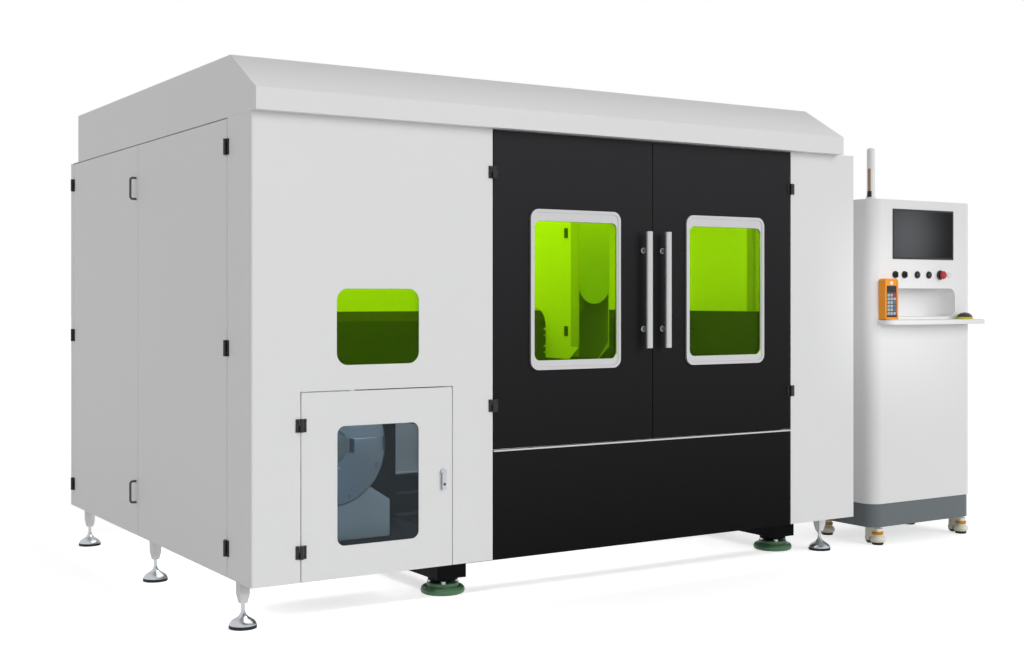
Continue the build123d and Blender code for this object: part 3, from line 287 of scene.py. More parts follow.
def mouldedPlastic(name, hexColour, roughness, grainMm=1.0, grainDepth=0.05):
    material, tree, shader, place = startMaterial(name, hexColour, roughness, IOR=1.52)
    grain = addNode(tree, "ShaderNodeTexVoronoi", inputs={"Scale": perMetre(grainMm)},
                    links={"Vector": place})
    bump = addNode(tree, "ShaderNodeBump",
                   inputs={"Strength": moulding["grainStrength"], "Distance": grainDepth / 1000},
                   links={"Height": grain.outputs["Distance"]})
    tree.links.new(bump.outputs["Normal"], shader.inputs["Normal"])
    handled = addNode(tree, "ShaderNodeTexNoise",
                      inputs={"Scale": perMetre(moulding["handledMm"]), "Detail": 2.0},
                      links={"Vector": place})
    swing = moulding["shineSwing"]
    shine = addNode(tree, "ShaderNodeMapRange",
                    inputs={"To Min": roughness - swing, "To Max": roughness + swing},
                    links={"Value": handled.outputs["Fac"]})
    tree.links.new(shine.outputs["Result"], shader.inputs["Roughness"])
    return material


blackPlastic = mouldedPlastic("blackPlastic", "#121213", 0.4)
blackHingeZinc = mouldedPlastic("blackHingeZinc", "#0d0d0e", 0.38, 1.2)
redPlastic = mouldedPlastic("redPlastic", "#b3141f", 0.35)
orangePlastic = mouldedPlastic("orangePlastic", "#f0930f", 0.4)
creamNylon = mouldedPlastic("creamNylon", "#efe9d6", 0.42)
amberNylon = mouldedPlastic("amberNylon", "#c98a14", 0.42)
limeRubber = mouldedPlastic("limeRubber", "#c2b81c", 0.6)
keypadSilicone = mouldedPlastic("keypadSilicone", "#44494d", 0.65)
paleKey = mouldedPlastic("paleKey", "#a3adb5", 0.5)
# Painted highlight: the signal mast's near-white stands in for the glare on its amber lens and dark foot
mastPlastic = mouldedPlastic("mastPlastic", "#ececec", 0.22)
blackRubber = mouldedPlastic("blackRubber", "#151617", 0.75, 1.5, 0.1)
screenPlastic = mouldedPlastic("screenPlastic", "#0a0a0b", 0.16, 2.0, 0.01)
darkNickel = mouldedPlastic("darkNickel", "#4c5154", 0.3, 1.5)  # dull dark plate on the small cast pulls


# Cast acrylic sheet: clear and glossy, dyed through, with the faint waviness of a cast sheet
def castAcrylic(name, hexColour, bending, clearness):
    material, tree, shader, place = startMaterial(
        name, hexColour, 0.0, IOR=bending, Transmission_Weight=clearness)
    wave = addNode(tree, "ShaderNodeTexNoise", inputs={"Scale": perMetre(350), "Detail": 1.0},
                   links={"Vector": place})
    bump = addNode(tree, "ShaderNodeBump", inputs={"Strength": 0.04, "Distance": 0.001},
                   links={"Height": wave.outputs["Fac"]})
    tree.links.new(bump.outputs["Normal"], shader.inputs["Normal"])
    return material


greenAcrylic = castAcrylic("greenAcrylic", "#9bd900", 1.12, 0.95)  # deep dye against stray laser light
greyAcrylic = castAcrylic("greyAcrylic", "#98aab6", 1.2, 0.97)  # smoky blue-grey dye of the access door

slotMaterials = {
    "white_powder_coat": whitePowderCoat, "black_powder_coat": blackPowderCoat,
    "satin_aluminium": satinAluminium, "green_acrylic": greenAcrylic, "grey_acrylic": greyAcrylic,
    "chromed_steel": chromedSteel, "black_rubber": blackRubber, "green_casting": greenCastingPaint,
    "black_hinge_steel": blackHingeZinc, "mild_steel": slatSteel, "grey_casting": greyCastingPaint,
    "head_aluminium": anodisedAluminium, "grey_skirt_paint": greySkirtPaint,
    "screen_plastic": screenPlastic, "black_plastic": blackPlastic, "red_plastic": redPlastic,
    "orange_plastic": orangePlastic, "mast_plastic": mastPlastic, "cream_plastic": creamNylon,
}
otherLooks = {"chuck_plate": groundSteel, "door_sill": drawnAluminium, "chuck_pedestal": whitePowderCoat,
              "access_lever": zincPlate, "side_pulls": darkNickel, "control_rings": blackPlastic}
for node, slot in slotOf.items():
    mesh = nodes[node].data
    mesh.materials.clear()
    mesh.materials.append(otherLooks.get(node, slotMaterials[slot]))
print("materials set on", len(nodes), "nodes")


up = (0, 0, 1)
outward = (0, -1, 0)  # toward the front of the machine
aligned = 0.9  # share of a normal or an edge along an axis that counts as lying along it
mergeGap = 0.00002  # metres between points that count as one


def deselect():
    if bpy.context.object and bpy.context.object.mode != "OBJECT":
        bpy.ops.object.mode_set(mode="OBJECT")
    bpy.ops.object.select_all(action="DESELECT")


def takeUp(piece):
    deselect()
    piece.select_set(True)
    bpy.context.view_layer.objects.active = piece


def discard(*pieces):
    for piece in pieces:
        bpy.data.objects.remove(piece, do_unlink=True)


def settle(name):
    piece = bpy.context.object
    piece.name = name
    piece.data.name = name
    bpy.ops.object.transform_apply(location=True, rotation=True, scale=True)
    return piece


def newBlock(name, low, high):
    deselect()
    first, last = at(*low), at(*high)
    bpy.ops.mesh.primitive_cube_add(size=1, location=(first + last) / 2)
    bpy.context.object.scale = last - first
    return settle(name)


# Turns a profile of (radius, length) steps round an axis, given by its start and its direction
def turnPiece(name, place, direction, profile, steps=32, sweep=360, begin=0):
    deselect()
    forward = Vector(direction)
    across = Vector(up)
    if abs(forward.z) > 0.5:
        across = Vector((cos(radians(begin)), sin(radians(begin)), 0))
    start = at(*place)
    points = [start + across * (r / 1000) + forward * (h / 1000) for r, h in profile]
    bpy.ops.mesh.primitive_plane_add(size=0.01, location=points[0])
    bpy.context.tool_settings.mesh_select_mode = (True, False, False)
    bpy.ops.object.mode_set(mode="EDIT")
    bpy.ops.mesh.select_all(action="SELECT")
    bpy.ops.mesh.merge(type="CENTER")
    for last, point in zip(points, points[1:]):
        bpy.ops.mesh.extrude_vertices_move(TRANSFORM_OT_translate={"value": point - last})
    bpy.ops.mesh.select_all(action="SELECT")
    bpy.ops.mesh.spin(steps=steps, angle=radians(sweep), center=start, axis=forward)
    bpy.ops.mesh.select_all(action="SELECT")
    bpy.ops.mesh.remove_doubles(threshold=mergeGap)
    if sweep < 360:
        bpy.ops.mesh.fill_holes(sides=0)
    bpy.ops.mesh.normals_make_consistent(inside=False)
    bpy.ops.object.mode_set(mode="OBJECT")
    return settle(name)


def pickFaces(piece, test):
    takeUp(piece)
    for vertex in piece.data.vertices:
        vertex.select = False
    for edge in piece.data.edges:
        edge.select = False
    for face in piece.data.polygons:
        face.select = bool(test(face.normal))
    bpy.context.tool_settings.mesh_select_mode = (False, False, True)
    bpy.ops.object.mode_set(mode="EDIT")


def pickFront(piece):
    pickFaces(piece, lambda normal: normal.y < -aligned)


def pickEdges(piece, test):
    takeUp(piece)
    points = [vertex.co for vertex in piece.data.vertices]
    for part in (piece.data.vertices, piece.data.polygons):
        for item in part:
            item.select = False
    for edge in piece.data.edges:
        first, last = points[edge.vertices[0]], points[edge.vertices[1]]
        edge.select = bool(test((first + last) / 2, (last - first).normalized()))
    bpy.context.tool_settings.mesh_select_mode = (False, True, False)
    bpy.ops.object.mode_set(mode="EDIT")


# Rounds the edges that run along one axis (0, 1 or 2), all of them or those whose middle passes a test
def roundEdges(piece, axis, width, segments, chosen=lambda middle: True):
    pickEdges(piece, lambda middle, line: abs(line[axis]) > aligned and chosen(middle))
    bpy.ops.mesh.bevel(offset=width / 1000, segments=segments, affect="EDGES", clamp_overlap=True)
    bpy.ops.object.mode_set(mode="OBJECT")


# Sinks the front face inside a rim
def sinkFront(piece, rim, depth):
    pickFront(piece)
    bpy.ops.mesh.inset(thickness=rim / 1000)
    bpy.ops.mesh.extrude_region_move(TRANSFORM_OT_translate={"value": (0, depth / 1000, 0)})
    bpy.ops.object.mode_set(mode="OBJECT")


# Makes the front face smaller, so that the sides slope as on a moulded key
def taperFront(piece, shareX, shareZ):
    pickFront(piece)
    bpy.ops.transform.resize(value=(shareX, 1, shareZ))
    bpy.ops.object.mode_set(mode="OBJECT")


# Cuts a piece along a plane, closes the cut, and drops the half before or behind the plane
def halve(piece, place, normal, dropBehind):
    takeUp(piece)
    bpy.ops.object.mode_set(mode="EDIT")
    bpy.ops.mesh.select_all(action="SELECT")
    bpy.ops.mesh.bisect(plane_co=at(*place), plane_no=normal, use_fill=True,
                        clear_inner=dropBehind, clear_outer=not dropBehind)
    bpy.ops.object.mode_set(mode="OBJECT")


def soften(piece, width, segments=2, angle=35):
    takeUp(piece)
    edges = piece.modifiers.new("edges", "BEVEL")
    edges.width = width / 1000
    edges.segments = segments
    edges.limit_method = "ANGLE"
    edges.angle_limit = radians(angle)
    edges.harden_normals = False
    bpy.ops.object.modifier_apply(modifier="edges")
    return piece


def cutAway(piece, cutter):
    takeUp(piece)
    cut = piece.modifiers.new("cut", "BOOLEAN")
    cut.object = cutter
    cut.solver = "EXACT"
    bpy.ops.object.modifier_apply(modifier="cut")
    discard(cutter)
    return piece


# Copies a piece by a shift, turned first about the machine's corner when a turn in degrees is given
def copyTo(piece, shift, turn=0):
    takeUp(piece)
    bpy.ops.object.duplicate(linked=False)
    if turn:
        bpy.ops.transform.rotate(value=-radians(turn), orient_axis="Z", center_override=at(0, 0, 0))
    bpy.ops.transform.translate(value=Vector(shift) / 1000)
    bpy.ops.object.transform_apply(location=True, rotation=True, scale=True)
    return bpy.context.object


def joinAll(name, pieces):
    deselect()
    for piece in pieces:
        piece.select_set(True)
    bpy.context.view_layer.objects.active = pieces[0]
    if len(pieces) > 1:
        bpy.ops.object.join()
    pieces[0].name = name
    pieces[0].data.name = name
    return pieces[0]


def shadePiece(piece, angle=32):
    bpy.ops.object.shade_smooth_by_angle(angle=radians(angle))
    weighing = piece.modifiers.new("weighing", "WEIGHTED_NORMAL")
    weighing.keep_sharp = True
    bpy.ops.object.modifier_apply(modifier=weighing.name)


def finishPiece(piece, material, body, stands=(), angle=32):
    takeUp(piece)
    bpy.ops.object.mode_set(mode="EDIT")
    bpy.ops.mesh.select_all(action="SELECT")
    bpy.ops.mesh.normals_make_consistent(inside=False)
    bpy.ops.object.mode_set(mode="OBJECT")
    shadePiece(piece, angle)
    piece.data.materials.clear()
    piece.data.materials.append(material)
    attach(piece, body)
    for node in stands:
        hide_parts(node)
    return piece


print("tools laid out")


# Console screen: a black bezel with a sunk display
screen = {"left": 3387, "right": 3832, "base": 1410, "top": 1659, "front": 82, "back": 115, "rim": 9,
          "sink": 2.4, "ease": 1.2,
          "glassRim": 8.5, "glassSink": 1.2, "glassThickness": 2, "glassEase": 0.6}
screenBezel = newBlock("screenBezel", (screen["left"], screen["front"], screen["base"]),
                       (screen["right"], screen["back"], screen["top"]))
sinkFront(screenBezel, screen["rim"], screen["sink"])
soften(screenBezel, screen["ease"], 3)
finishPiece(screenBezel, blackPlastic, "machine", ["console_screen"])

rim = screen["glassRim"]
glassFront = screen["front"] + screen["glassSink"]
screenGlass = newBlock("screenGlass", (screen["left"] + rim, glassFront, screen["base"] + rim),
                       (screen["right"] - rim, glassFront + screen["glassThickness"], screen["top"] - rim))
soften(screenGlass, screen["glassEase"])

# Liquid crystal display behind matt glass, switched off: its colour holds a painted reflection of the
# studio light, grey toward the upper left and darker toward its right end and corners
display = {"dark": "#050506", "grey": "#525457", "greyest": (-0.12, 0.0, 0.0), "reach": 0.34, "core": 0.02}
displayGlass, tree, shader, place = startMaterial("displayGlass", "#3a3c3e", 0.4, IOR=1.22)
upperLeft = at(screen["left"], screen["front"], screen["top"])
lowerRight = at(screen["right"], screen["front"], screen["base"])
centred = addNode(tree, "ShaderNodeMapping", inputs={"Location": -(upperLeft + lowerRight) / 2},
                  links={"Vector": place})
away = addNode(tree, "ShaderNodeVectorMath", {"operation": "DISTANCE"}, {1: display["greyest"]},
               {0: centred.outputs["Vector"]})
fall = addNode(tree, "ShaderNodeMapRange", {"interpolation_type": "SMOOTHSTEP"},
               {"From Min": display["reach"], "From Max": display["core"]},
               {"Value": away.outputs["Value"]})
# Painted reflection: the grey is strongest near the upper left and falls to dark at the edges
tone = addNode(tree, "ShaderNodeMix", {"data_type": "RGBA"}, links={"Factor": fall.outputs["Result"]})
tone.inputs["A"].default_value = toLinear(display["dark"])
tone.inputs["B"].default_value = toLinear(display["grey"])
tree.links.new(tone.outputs["Result"], shader.inputs["Base Color"])
finishPiece(screenGlass, displayGlass, "machine")
print("screen done")


# Row of controls: two selectors, two push buttons, the red stop and a capped port
controls = {"row": 1333, "face": 85, "selectors": (3404, 3470), "buttons": (3563, 3648), "stop": 3733,
            "port": 3801, "gripWidth": 8, "gripReach": 22, "gripRoot": 8, "gripHeight": 26, "gripEase": 1.6,
            "gripTaper": (0.62, 0.9), "markHalf": 1, "markLow": 1, "markHigh": 10.5, "markProud": 0.3,
            "markSeat": 1, "markEase": 0.3}
buttonProfile = [(0, 10.6), (6, 10.9), (9.5, 11.9), (11.4, 11.8), (12.6, 10.8), (13, 9.2), (13, 4.5),
                 (9, 4.5), (9, -29), (0, -29)]
selectorProfile = [(0, 10.6), (10.6, 10.6), (12.2, 9.6), (13, 7.6), (13, 0.6), (9, 0.6), (9, -29), (0, -29)]
stopProfile = [(0, 33.6), (7, 33.4), (12.5, 32.2), (17, 29.6), (20, 26), (21, 22.4), (20.2, 19.2),
               (17.5, 18), (12, 18), (12, 5.6), (9, 5.6), (9, -24), (0, -24)]
collarProfile = [(13.2, 0), (24, 0), (24.4, 2.5), (23.6, 5.4), (20, 8.4), (15, 9.6), (13.2, 9.6), (13.2, 0)]
portProfile = [(0, 6.2), (5, 6.2), (6.6, 5.2), (7.4, 6.8), (10.6, 6.8), (12.6, 5.4), (13, 0.4), (0, 0.4)]
face, row = controls["face"], controls["row"]
for number, x in enumerate(controls["buttons"], 1):
    cap = turnPiece(f"buttonCap{number}", (x, face, row), outward, buttonProfile)
    finishPiece(cap, screenPlastic, f"push_button_{number}", [f"push_button_{number}"])
half, tall = controls["gripWidth"] / 2, controls["gripHeight"] / 2
gripFront, gripBack = face - controls["gripReach"], face - controls["gripRoot"]
markFront, markBack = gripFront - controls["markProud"], gripFront + controls["markSeat"]
for number, x in enumerate(controls["selectors"], 1):
    knob = turnPiece(f"selectorKnob{number}", (x, face, row), outward, selectorProfile)
    grip = newBlock("grip", (x - half, gripFront, row - tall), (x + half, gripBack, row + tall))
    taperFront(grip, *controls["gripTaper"])
    soften(grip, controls["gripEase"], 3)
    knob = joinAll(f"selectorKnob{number}", [knob, grip])
    finishPiece(knob, blackPlastic, f"selector_{number}", [f"selector_{number}"])
    mark = newBlock(f"selectorMark{number}",
                    (x - controls["markHalf"], markFront, row + controls["markLow"]),
                    (x + controls["markHalf"], markBack, row + controls["markHigh"]))
    soften(mark, controls["markEase"])
    finishPiece(mark, paleKey, f"selector_{number}")
stopPlace = (controls["stop"], face, row)
stopCap = turnPiece("stopCap", stopPlace, outward, stopProfile, 40)
finishPiece(stopCap, redPlastic, "emergency_stop", ["emergency_stop"])
stopCollar = turnPiece("stopCollar", stopPlace, outward, collarProfile, 40)
finishPiece(stopCollar, blackPlastic, "machine")
portCap = turnPiece("portCap", (controls["port"], face, row), outward, portProfile)
finishPiece(portCap, chromedSteel, "machine")
print("controls done")


# Hand pendant over its cradle: an orange shell with a sunk face, a dark display, keys, and a pale round
# disc near its top that is a painted highlight
pendant = {"left": 3288.5, "right": 3379.5, "base": 1112, "top": 1312, "front": 41.5, "back": 85,
           "corner": 17, "footCorner": 4, "rim": 9, "sink": 2.5, "ease": 2.2,
           "faceGap": 2, "faceLow": 15, "faceHigh": 34, "faceProud": 0.4, "faceThickness": 2,
           "faceCorner": 5, "faceEase": 0.3, "seat": 1,
           "inset": 3, "displayDown": 38, "displayTall": 28, "displayProud": 1.2, "displayEase": 1,
           "keyColumns": 3, "keyRows": 6, "keyGap": 3, "keysDown": 36, "keysLow": 19, "keyProud": 1.8,
           "keyTaper": (0.84, 0.8), "keyEase": 0.6, "blueKeys": (13, 10, 7), "roundDown": 22}
highlightDiscProfile = [(0, 4), (4, 3.8), (8, 2.8), (10, 1.2), (10.6, -1), (0, -1)]
pendantShell = newBlock("pendantShell", (pendant["left"], pendant["front"], pendant["base"]),
                        (pendant["right"], pendant["back"], pendant["top"]))
footLine = (pendant["base"] + 10) / 1000
roundEdges(pendantShell, 1, pendant["corner"], 6, lambda middle: middle.z > footLine)
roundEdges(pendantShell, 1, pendant["footCorner"], 4, lambda middle: middle.z < footLine)
sinkFront(pendantShell, pendant["rim"], pendant["sink"])
soften(pendantShell, pendant["ease"], 3)
finishPiece(pendantShell, orangePlastic, "machine", ["pendant"])

faceLeft = pendant["left"] + pendant["rim"] + pendant["faceGap"]
faceRight = pendant["right"] - pendant["rim"] - pendant["faceGap"]
sunkFront = pendant["front"] + pendant["sink"]
faceFront = sunkFront - pendant["faceProud"]
faceBack = faceFront + pendant["faceThickness"]
pendantFace = newBlock("pendantFace", (faceLeft, faceFront, pendant["base"] + pendant["faceLow"]),
                       (faceRight, faceBack, pendant["top"] - pendant["faceHigh"]))
roundEdges(pendantFace, 1, pendant["faceCorner"], 4)
soften(pendantFace, pendant["faceEase"])
finishPiece(pendantFace, keypadSilicone, "machine")

keysLeft, keysRight = faceLeft + pendant["inset"], faceRight - pendant["inset"]
displayTop = pendant["top"] - pendant["displayDown"]
pendantDisplay = newBlock(
    "pendantDisplay", (keysLeft, faceFront - pendant["displayProud"], displayTop - pendant["displayTall"]),
    (keysRight, faceFront + pendant["seat"], displayTop))
soften(pendantDisplay, pendant["displayEase"], 3)
finishPiece(pendantDisplay, screenPlastic, "machine")

keyTop = displayTop - pendant["keysDown"]
gap = pendant["keyGap"]
keyPitchX = (keysRight - keysLeft) / pendant["keyColumns"]
keyPitchZ = (keyTop - pendant["base"] - pendant["keysLow"]) / pendant["keyRows"]
firstKey = newBlock("key", (keysLeft + gap / 2, faceFront - pendant["keyProud"], keyTop - keyPitchZ + gap),
                    (keysLeft + keyPitchX - gap / 2, faceFront + pendant["seat"], keyTop))
taperFront(firstKey, *pendant["keyTaper"])
soften(firstKey, pendant["keyEase"])
keys = [copyTo(firstKey, (column * keyPitchX, 0, -row * keyPitchZ))
        for row in range(pendant["keyRows"]) for column in range(pendant["keyColumns"])]
discard(firstKey)
redKey = keys.pop(pendant["keyColumns"] - 1)
finishPiece(redKey, redPlastic, "machine")
redKey.name = "pendantStopKey"
blueKeys = joinAll("pendantBlueKeys", [keys.pop(place) for place in pendant["blueKeys"]])
blueGreyKey = mouldedPlastic("blueGreyKey", "#5a7085", 0.55)
finishPiece(blueKeys, blueGreyKey, "machine")
finishPiece(joinAll("pendantKeys", keys), paleKey, "machine")
# Painted highlight: a pale cream disc near the top, in place of the light spot on the pendant's loop
roundPlace = ((faceLeft + faceRight) / 2, sunkFront, pendant["top"] - pendant["roundDown"])
pendantHighlightDisc = turnPiece("pendantRoundKey", roundPlace, outward, highlightDiscProfile)
finishPiece(pendantHighlightDisc, creamNylon, "machine")
print("pendant done")


# Mouse on the shelf: a black domed shell over a lime rubber base, with a wheel
mouse = {"x": 3864, "y": 38, "base": 1110, "length": 104, "width": 62, "height": 34, "skirt": 11,
         "domeBase": 6, "domeShare": 0.98, "shellEase": 0.8, "skirtEase": 2.5, "wheelPlace": (24, -4, -12)}
wheelProfile = [(0, 0), (8.5, 0), (9.6, 1.4), (10, 4), (9.6, 6.6), (8.5, 8), (0, 8)]
halfLength, halfWidth = mouse["length"] / 2000, mouse["width"] / 2000
deselect()
bpy.ops.mesh.primitive_uv_sphere_add(segments=40, ring_count=24, radius=1,
                                     location=at(mouse["x"], mouse["y"], mouse["base"] + mouse["domeBase"]))
bpy.context.object.scale = (halfLength * mouse["domeShare"], halfWidth * mouse["domeShare"],
                            (mouse["height"] - mouse["domeBase"]) / 1000)
mouseShell = settle("mouseShell")
halve(mouseShell, (mouse["x"], mouse["y"], mouse["base"] + mouse["skirt"]), up, True)
soften(mouseShell, mouse["shellEase"])
finishPiece(mouseShell, screenPlastic, "machine", ["mouse"])
deselect()
bpy.ops.mesh.primitive_cylinder_add(vertices=48, radius=1, depth=1,
                                    location=at(mouse["x"], mouse["y"], mouse["base"] + mouse["skirt"] / 2))
bpy.context.object.scale = (halfLength, halfWidth, mouse["skirt"] / 1000)
mouseSkirt = settle("mouseSkirt")
soften(mouseSkirt, mouse["skirtEase"], 3)
finishPiece(mouseSkirt, limeRubber, "machine")
forth, aside, down = mouse["wheelPlace"]
wheelPlace = (mouse["x"] + forth, mouse["y"] + aside, mouse["base"] + mouse["height"] + down)
mouseWheel = turnPiece("mouseWheel", wheelPlace, (0, 1, 0), wheelProfile, 28)
finishPiece(mouseWheel, keypadSilicone, "machine")
print("mouse done")


# Signal mast: a pale tube with a flared foot, whose near-white colour is a painted highlight over its amber
# lens and dark foot; these show only as an amber strip lens and a dark foot plug on its left, away from the
# highlight
mast = {"place": (3326, 170, 1704), "radius": 20, "flare": 34, "lensLow": 44, "lensHigh": 154, "root": 2,
        "lensSweep": 37, "lensBegin": 220, "plugLow": 14, "plugGap": 0.5, "plugSweep": 58, "plugBegin": 231}
tube, root = mast["radius"], mast["radius"] - mast["root"]
lensLow, lensHigh = mast["lensLow"], mast["lensHigh"]
plugLow, plugHigh = mast["plugLow"], mast["lensLow"] - mast["plugGap"]
mastProfile = [(0, 0), (mast["flare"], 0), (mast["flare"], 3), (29, 5.5), (24.5, 11), (21.4, 19),
               (tube, 28), (tube, 244), (18.4, 251), (14, 255.4), (7, 257), (0, 257)]
lensProfile = [(root, lensLow), (tube + 1, lensLow), (tube + 1.6, lensLow + 2), (tube + 1.6, lensHigh - 2),
               (tube + 1, lensHigh), (root, lensHigh), (root, lensLow)]
plugProfile = [(root, plugLow), (tube + 6, plugLow), (tube + 2.4, 26), (tube + 1.4, plugHigh),
               (root, plugHigh), (root, plugLow)]
mastTube = turnPiece("mastTube", mast["place"], up, mastProfile, 40)
finishPiece(mastTube, mastPlastic, "machine", ["signal_mast"])
mastLens = turnPiece("mastLens", mast["place"], up, lensProfile, 12,
                     mast["lensSweep"], mast["lensBegin"])
smokedAmber = mouldedPlastic("smokedAmberLens", "#a8825f", 0.25, 3.0)
finishPiece(mastLens, smokedAmber, "machine")
footPlug = turnPiece("mastFootPlug", mast["place"], up, plugProfile, 12,
                     mast["plugSweep"], mast["plugBegin"])
finishPiece(footPlug, blackPlastic, "machine")
print("mast done")


# Door window frames: aluminium with a raised rounded rim, stepped down once toward the pane
window = {"left": 1187, "right": 1639, "base": 926, "top": 1578, "proud": 12, "corner": 38, "rim": 13,
          "step": 3.5, "sideBar": 20, "topBar": 48, "bottomBar": 39, "paneCorner": 26, "seam": 1817,
          "cutFront": -40, "cutBack": 20, "ease": 1.4}
mirrored = (2 * window["seam"] - window["right"], 2 * window["seam"] - window["left"])
for side, (left, right) in (("left", (window["left"], window["right"])), ("right", mirrored)):
    rimFrame = newBlock(f"{side}WindowRim", (left, -window["proud"], window["base"]),
                        (right, 0, window["top"]))
    roundEdges(rimFrame, 1, window["corner"], 8)
    sinkFront(rimFrame, window["rim"], window["step"])
    opening = newBlock(
        "opening", (left + window["sideBar"], window["cutFront"], window["base"] + window["bottomBar"]),
        (right - window["sideBar"], window["cutBack"], window["top"] - window["topBar"]))
    roundEdges(opening, 1, window["paneCorner"], 8)
    cutAway(rimFrame, opening)
    soften(rimFrame, window["ease"], angle=40)
    finishPiece(rimFrame, satinAluminium, f"{side}_door", [f"{side}_window_frame"])
print("window frames done")


# Door handles: a drawn bar on two turned posts with round foot plates
handle = {"offset": 51, "reach": 42, "base": 1005, "length": 495, "postInset": 81, "seam": 1817}
long = handle["length"]
barProfile = [(0, 0), (11.5, 0), (14, 1), (15, 3.5), (15, long - 3.5),
              (14, long - 1), (11.5, long), (0, long)]
postProfile = [(0, 0), (12, 0), (12, 2.4), (11.2, 3.4), (10, 4.2), (9.4, 7), (9, 12), (9, 36), (0, 36)]
for side, way in (("left", -1), ("right", 1)):
    x = handle["seam"] + way * handle["offset"]
    parts = [turnPiece("bar", (x, -handle["reach"], handle["base"]), up, barProfile)]
    for lift in (handle["postInset"], long - handle["postInset"]):
        parts.append(turnPiece("post", (x, 0, handle["base"] + lift), outward, postProfile, 28))
    pullBar = joinAll(f"{side}PullBar", parts)
    finishPiece(pullBar, satinAluminium, f"{side}_door", [f"{side}_handle"])
print("handles done")


# Hinge screws: socket heads, two in each leaf, made once and copied
hinges = {"face": 4, "reach": 15, "frontSpread": 14, "sideSpread": 17, "frontHeights": (792, 1716),
          "accessHeights": (291, 753), "sideHeights": (290, 1032, 1779)}
screwProfile = [(0, 0.5), (2.1, 0.5), (2.1, 2.2), (3.2, 2.4), (4.2, 1.9), (4.6, 0.8), (4.6, -1), (0, -1)]
frontScrew = turnPiece("frontScrew", (0, -hinges["face"], 0), outward, screwProfile, 12)
sideScrew = turnPiece("sideScrew", (-hinges["face"], 0, 0), (-1, 0, 0), screwProfile, 12)
# Each row: body, screw, axis across the hinge, pin, way to the moving leaf, heights, half spread
hingeRows = [("left_door", frontScrew, 0, 1015, 1, hinges["frontHeights"], hinges["frontSpread"]),
             ("right_door", frontScrew, 0, 2619, -1, hinges["frontHeights"], hinges["frontSpread"]),
             ("access_door", frontScrew, 0, 192, 1, hinges["accessHeights"], hinges["frontSpread"]),
             ("side_door_front", sideScrew, 1, 236, 1, hinges["sideHeights"], hinges["sideSpread"]),
             ("side_door_rear", sideScrew, 1, 2340, -1, hinges["sideHeights"], hinges["sideSpread"])]
fixedScrews = []
for body, screw, axis, pin, way, heights, spread in hingeRows:
    moving = []
    for z in [height + lift for height in heights for lift in (-spread, spread)]:
        for leafWay, group in ((way, moving), (-way, fixedScrews)):
            shift = [0, 0, z]
            shift[axis] = pin + leafWay * hinges["reach"]
            group.append(copyTo(screw, shift))
    finishPiece(joinAll(f"{body}Screws", moving), blackHingeZinc, body)
finishPiece(joinAll("fixedLeafScrews", fixedScrews), blackHingeZinc, "machine")
discard(frontScrew, sideScrew)
print("hinge screws done")


# Bed mounts: a round green casting with four lobes and a raised hub, and four plated bolts on it
mount = {"xs": (970, 2813), "ys": (325, 2065), "ease": 1.5, "hubTop": 45,
         "scallopCircle": 104, "scallopBase": 24,
         "boltCircle": 53, "boltTurn": -25, "boltRadius": 11.5, "boltDepth": 9, "boltMiddle": 49,
         "boltRim": 1.6, "boltCrown": 1.2, "boltEase": 0.7}
castingProfile = [(0, 0), (84, 0), (89.5, 4), (92, 11), (91.4, 18), (88, 25), (82, 30), (75, 31),
                  (70, 28.5), (68, 27), (66.6, 30), (66, 42), (64.5, 44.4), (62, 45), (0, 45)]
scallopProfile = [(0, 0), (8, 0), (26, 14), (26, 30), (0, 30)]
washerProfile = [(0, -1), (13.5, -1), (13.5, 0.6), (12.4, 1.8), (0, 1.8)]
casting = turnPiece("casting", (0, 0, 0), up, castingProfile, 48)
scallops = []
for quarter in range(4):
    turn = radians(45 + 90 * quarter)
    across, along = mount["scallopCircle"] * cos(turn), mount["scallopCircle"] * sin(turn)
    scallops.append(turnPiece("scallop", (across, along, mount["scallopBase"]), up, scallopProfile, 24))
cutAway(casting, joinAll("scallops", scallops))
soften(casting, mount["ease"], angle=40)
deselect()
bpy.ops.mesh.primitive_cylinder_add(vertices=6, radius=mount["boltRadius"] / 1000,
                                    depth=mount["boltDepth"] / 1000,
                                    location=at(mount["boltCircle"], 0, mount["boltMiddle"]))
bolt = settle("bolt")
pickFaces(bolt, lambda normal: normal.z > aligned)
bpy.ops.mesh.inset(thickness=mount["boltRim"] / 1000)
bpy.ops.transform.translate(value=(0, 0, mount["boltCrown"] / 1000))
bpy.ops.object.mode_set(mode="OBJECT")
soften(bolt, mount["boltEase"])
washer = turnPiece("washer", (mount["boltCircle"], 0, mount["hubTop"]), up, washerProfile, 24)
bolt = joinAll("bolt", [bolt, washer])
bolts = [copyTo(bolt, (0, 0, 0), 90 * quarter + mount["boltTurn"]) for quarter in range(4)]
discard(bolt)
boltRing = joinAll("boltRing", bolts)
mountPlaces = [(x, y, 0) for x in mount["xs"] for y in mount["ys"]]
for name, part, paint, slot, stands in (
        ("mountCastings", casting, greenCastingPaint, "green_casting", ["bed_mounts"]),
        ("mountBolts", boltRing, zincPlate, "chromed_steel", [])):
    copies = [copyTo(part, place) for place in mountPlaces]
    discard(part)
    finishPiece(joinAll(name, copies), paint, "machine", stands)
print("bed mounts done")


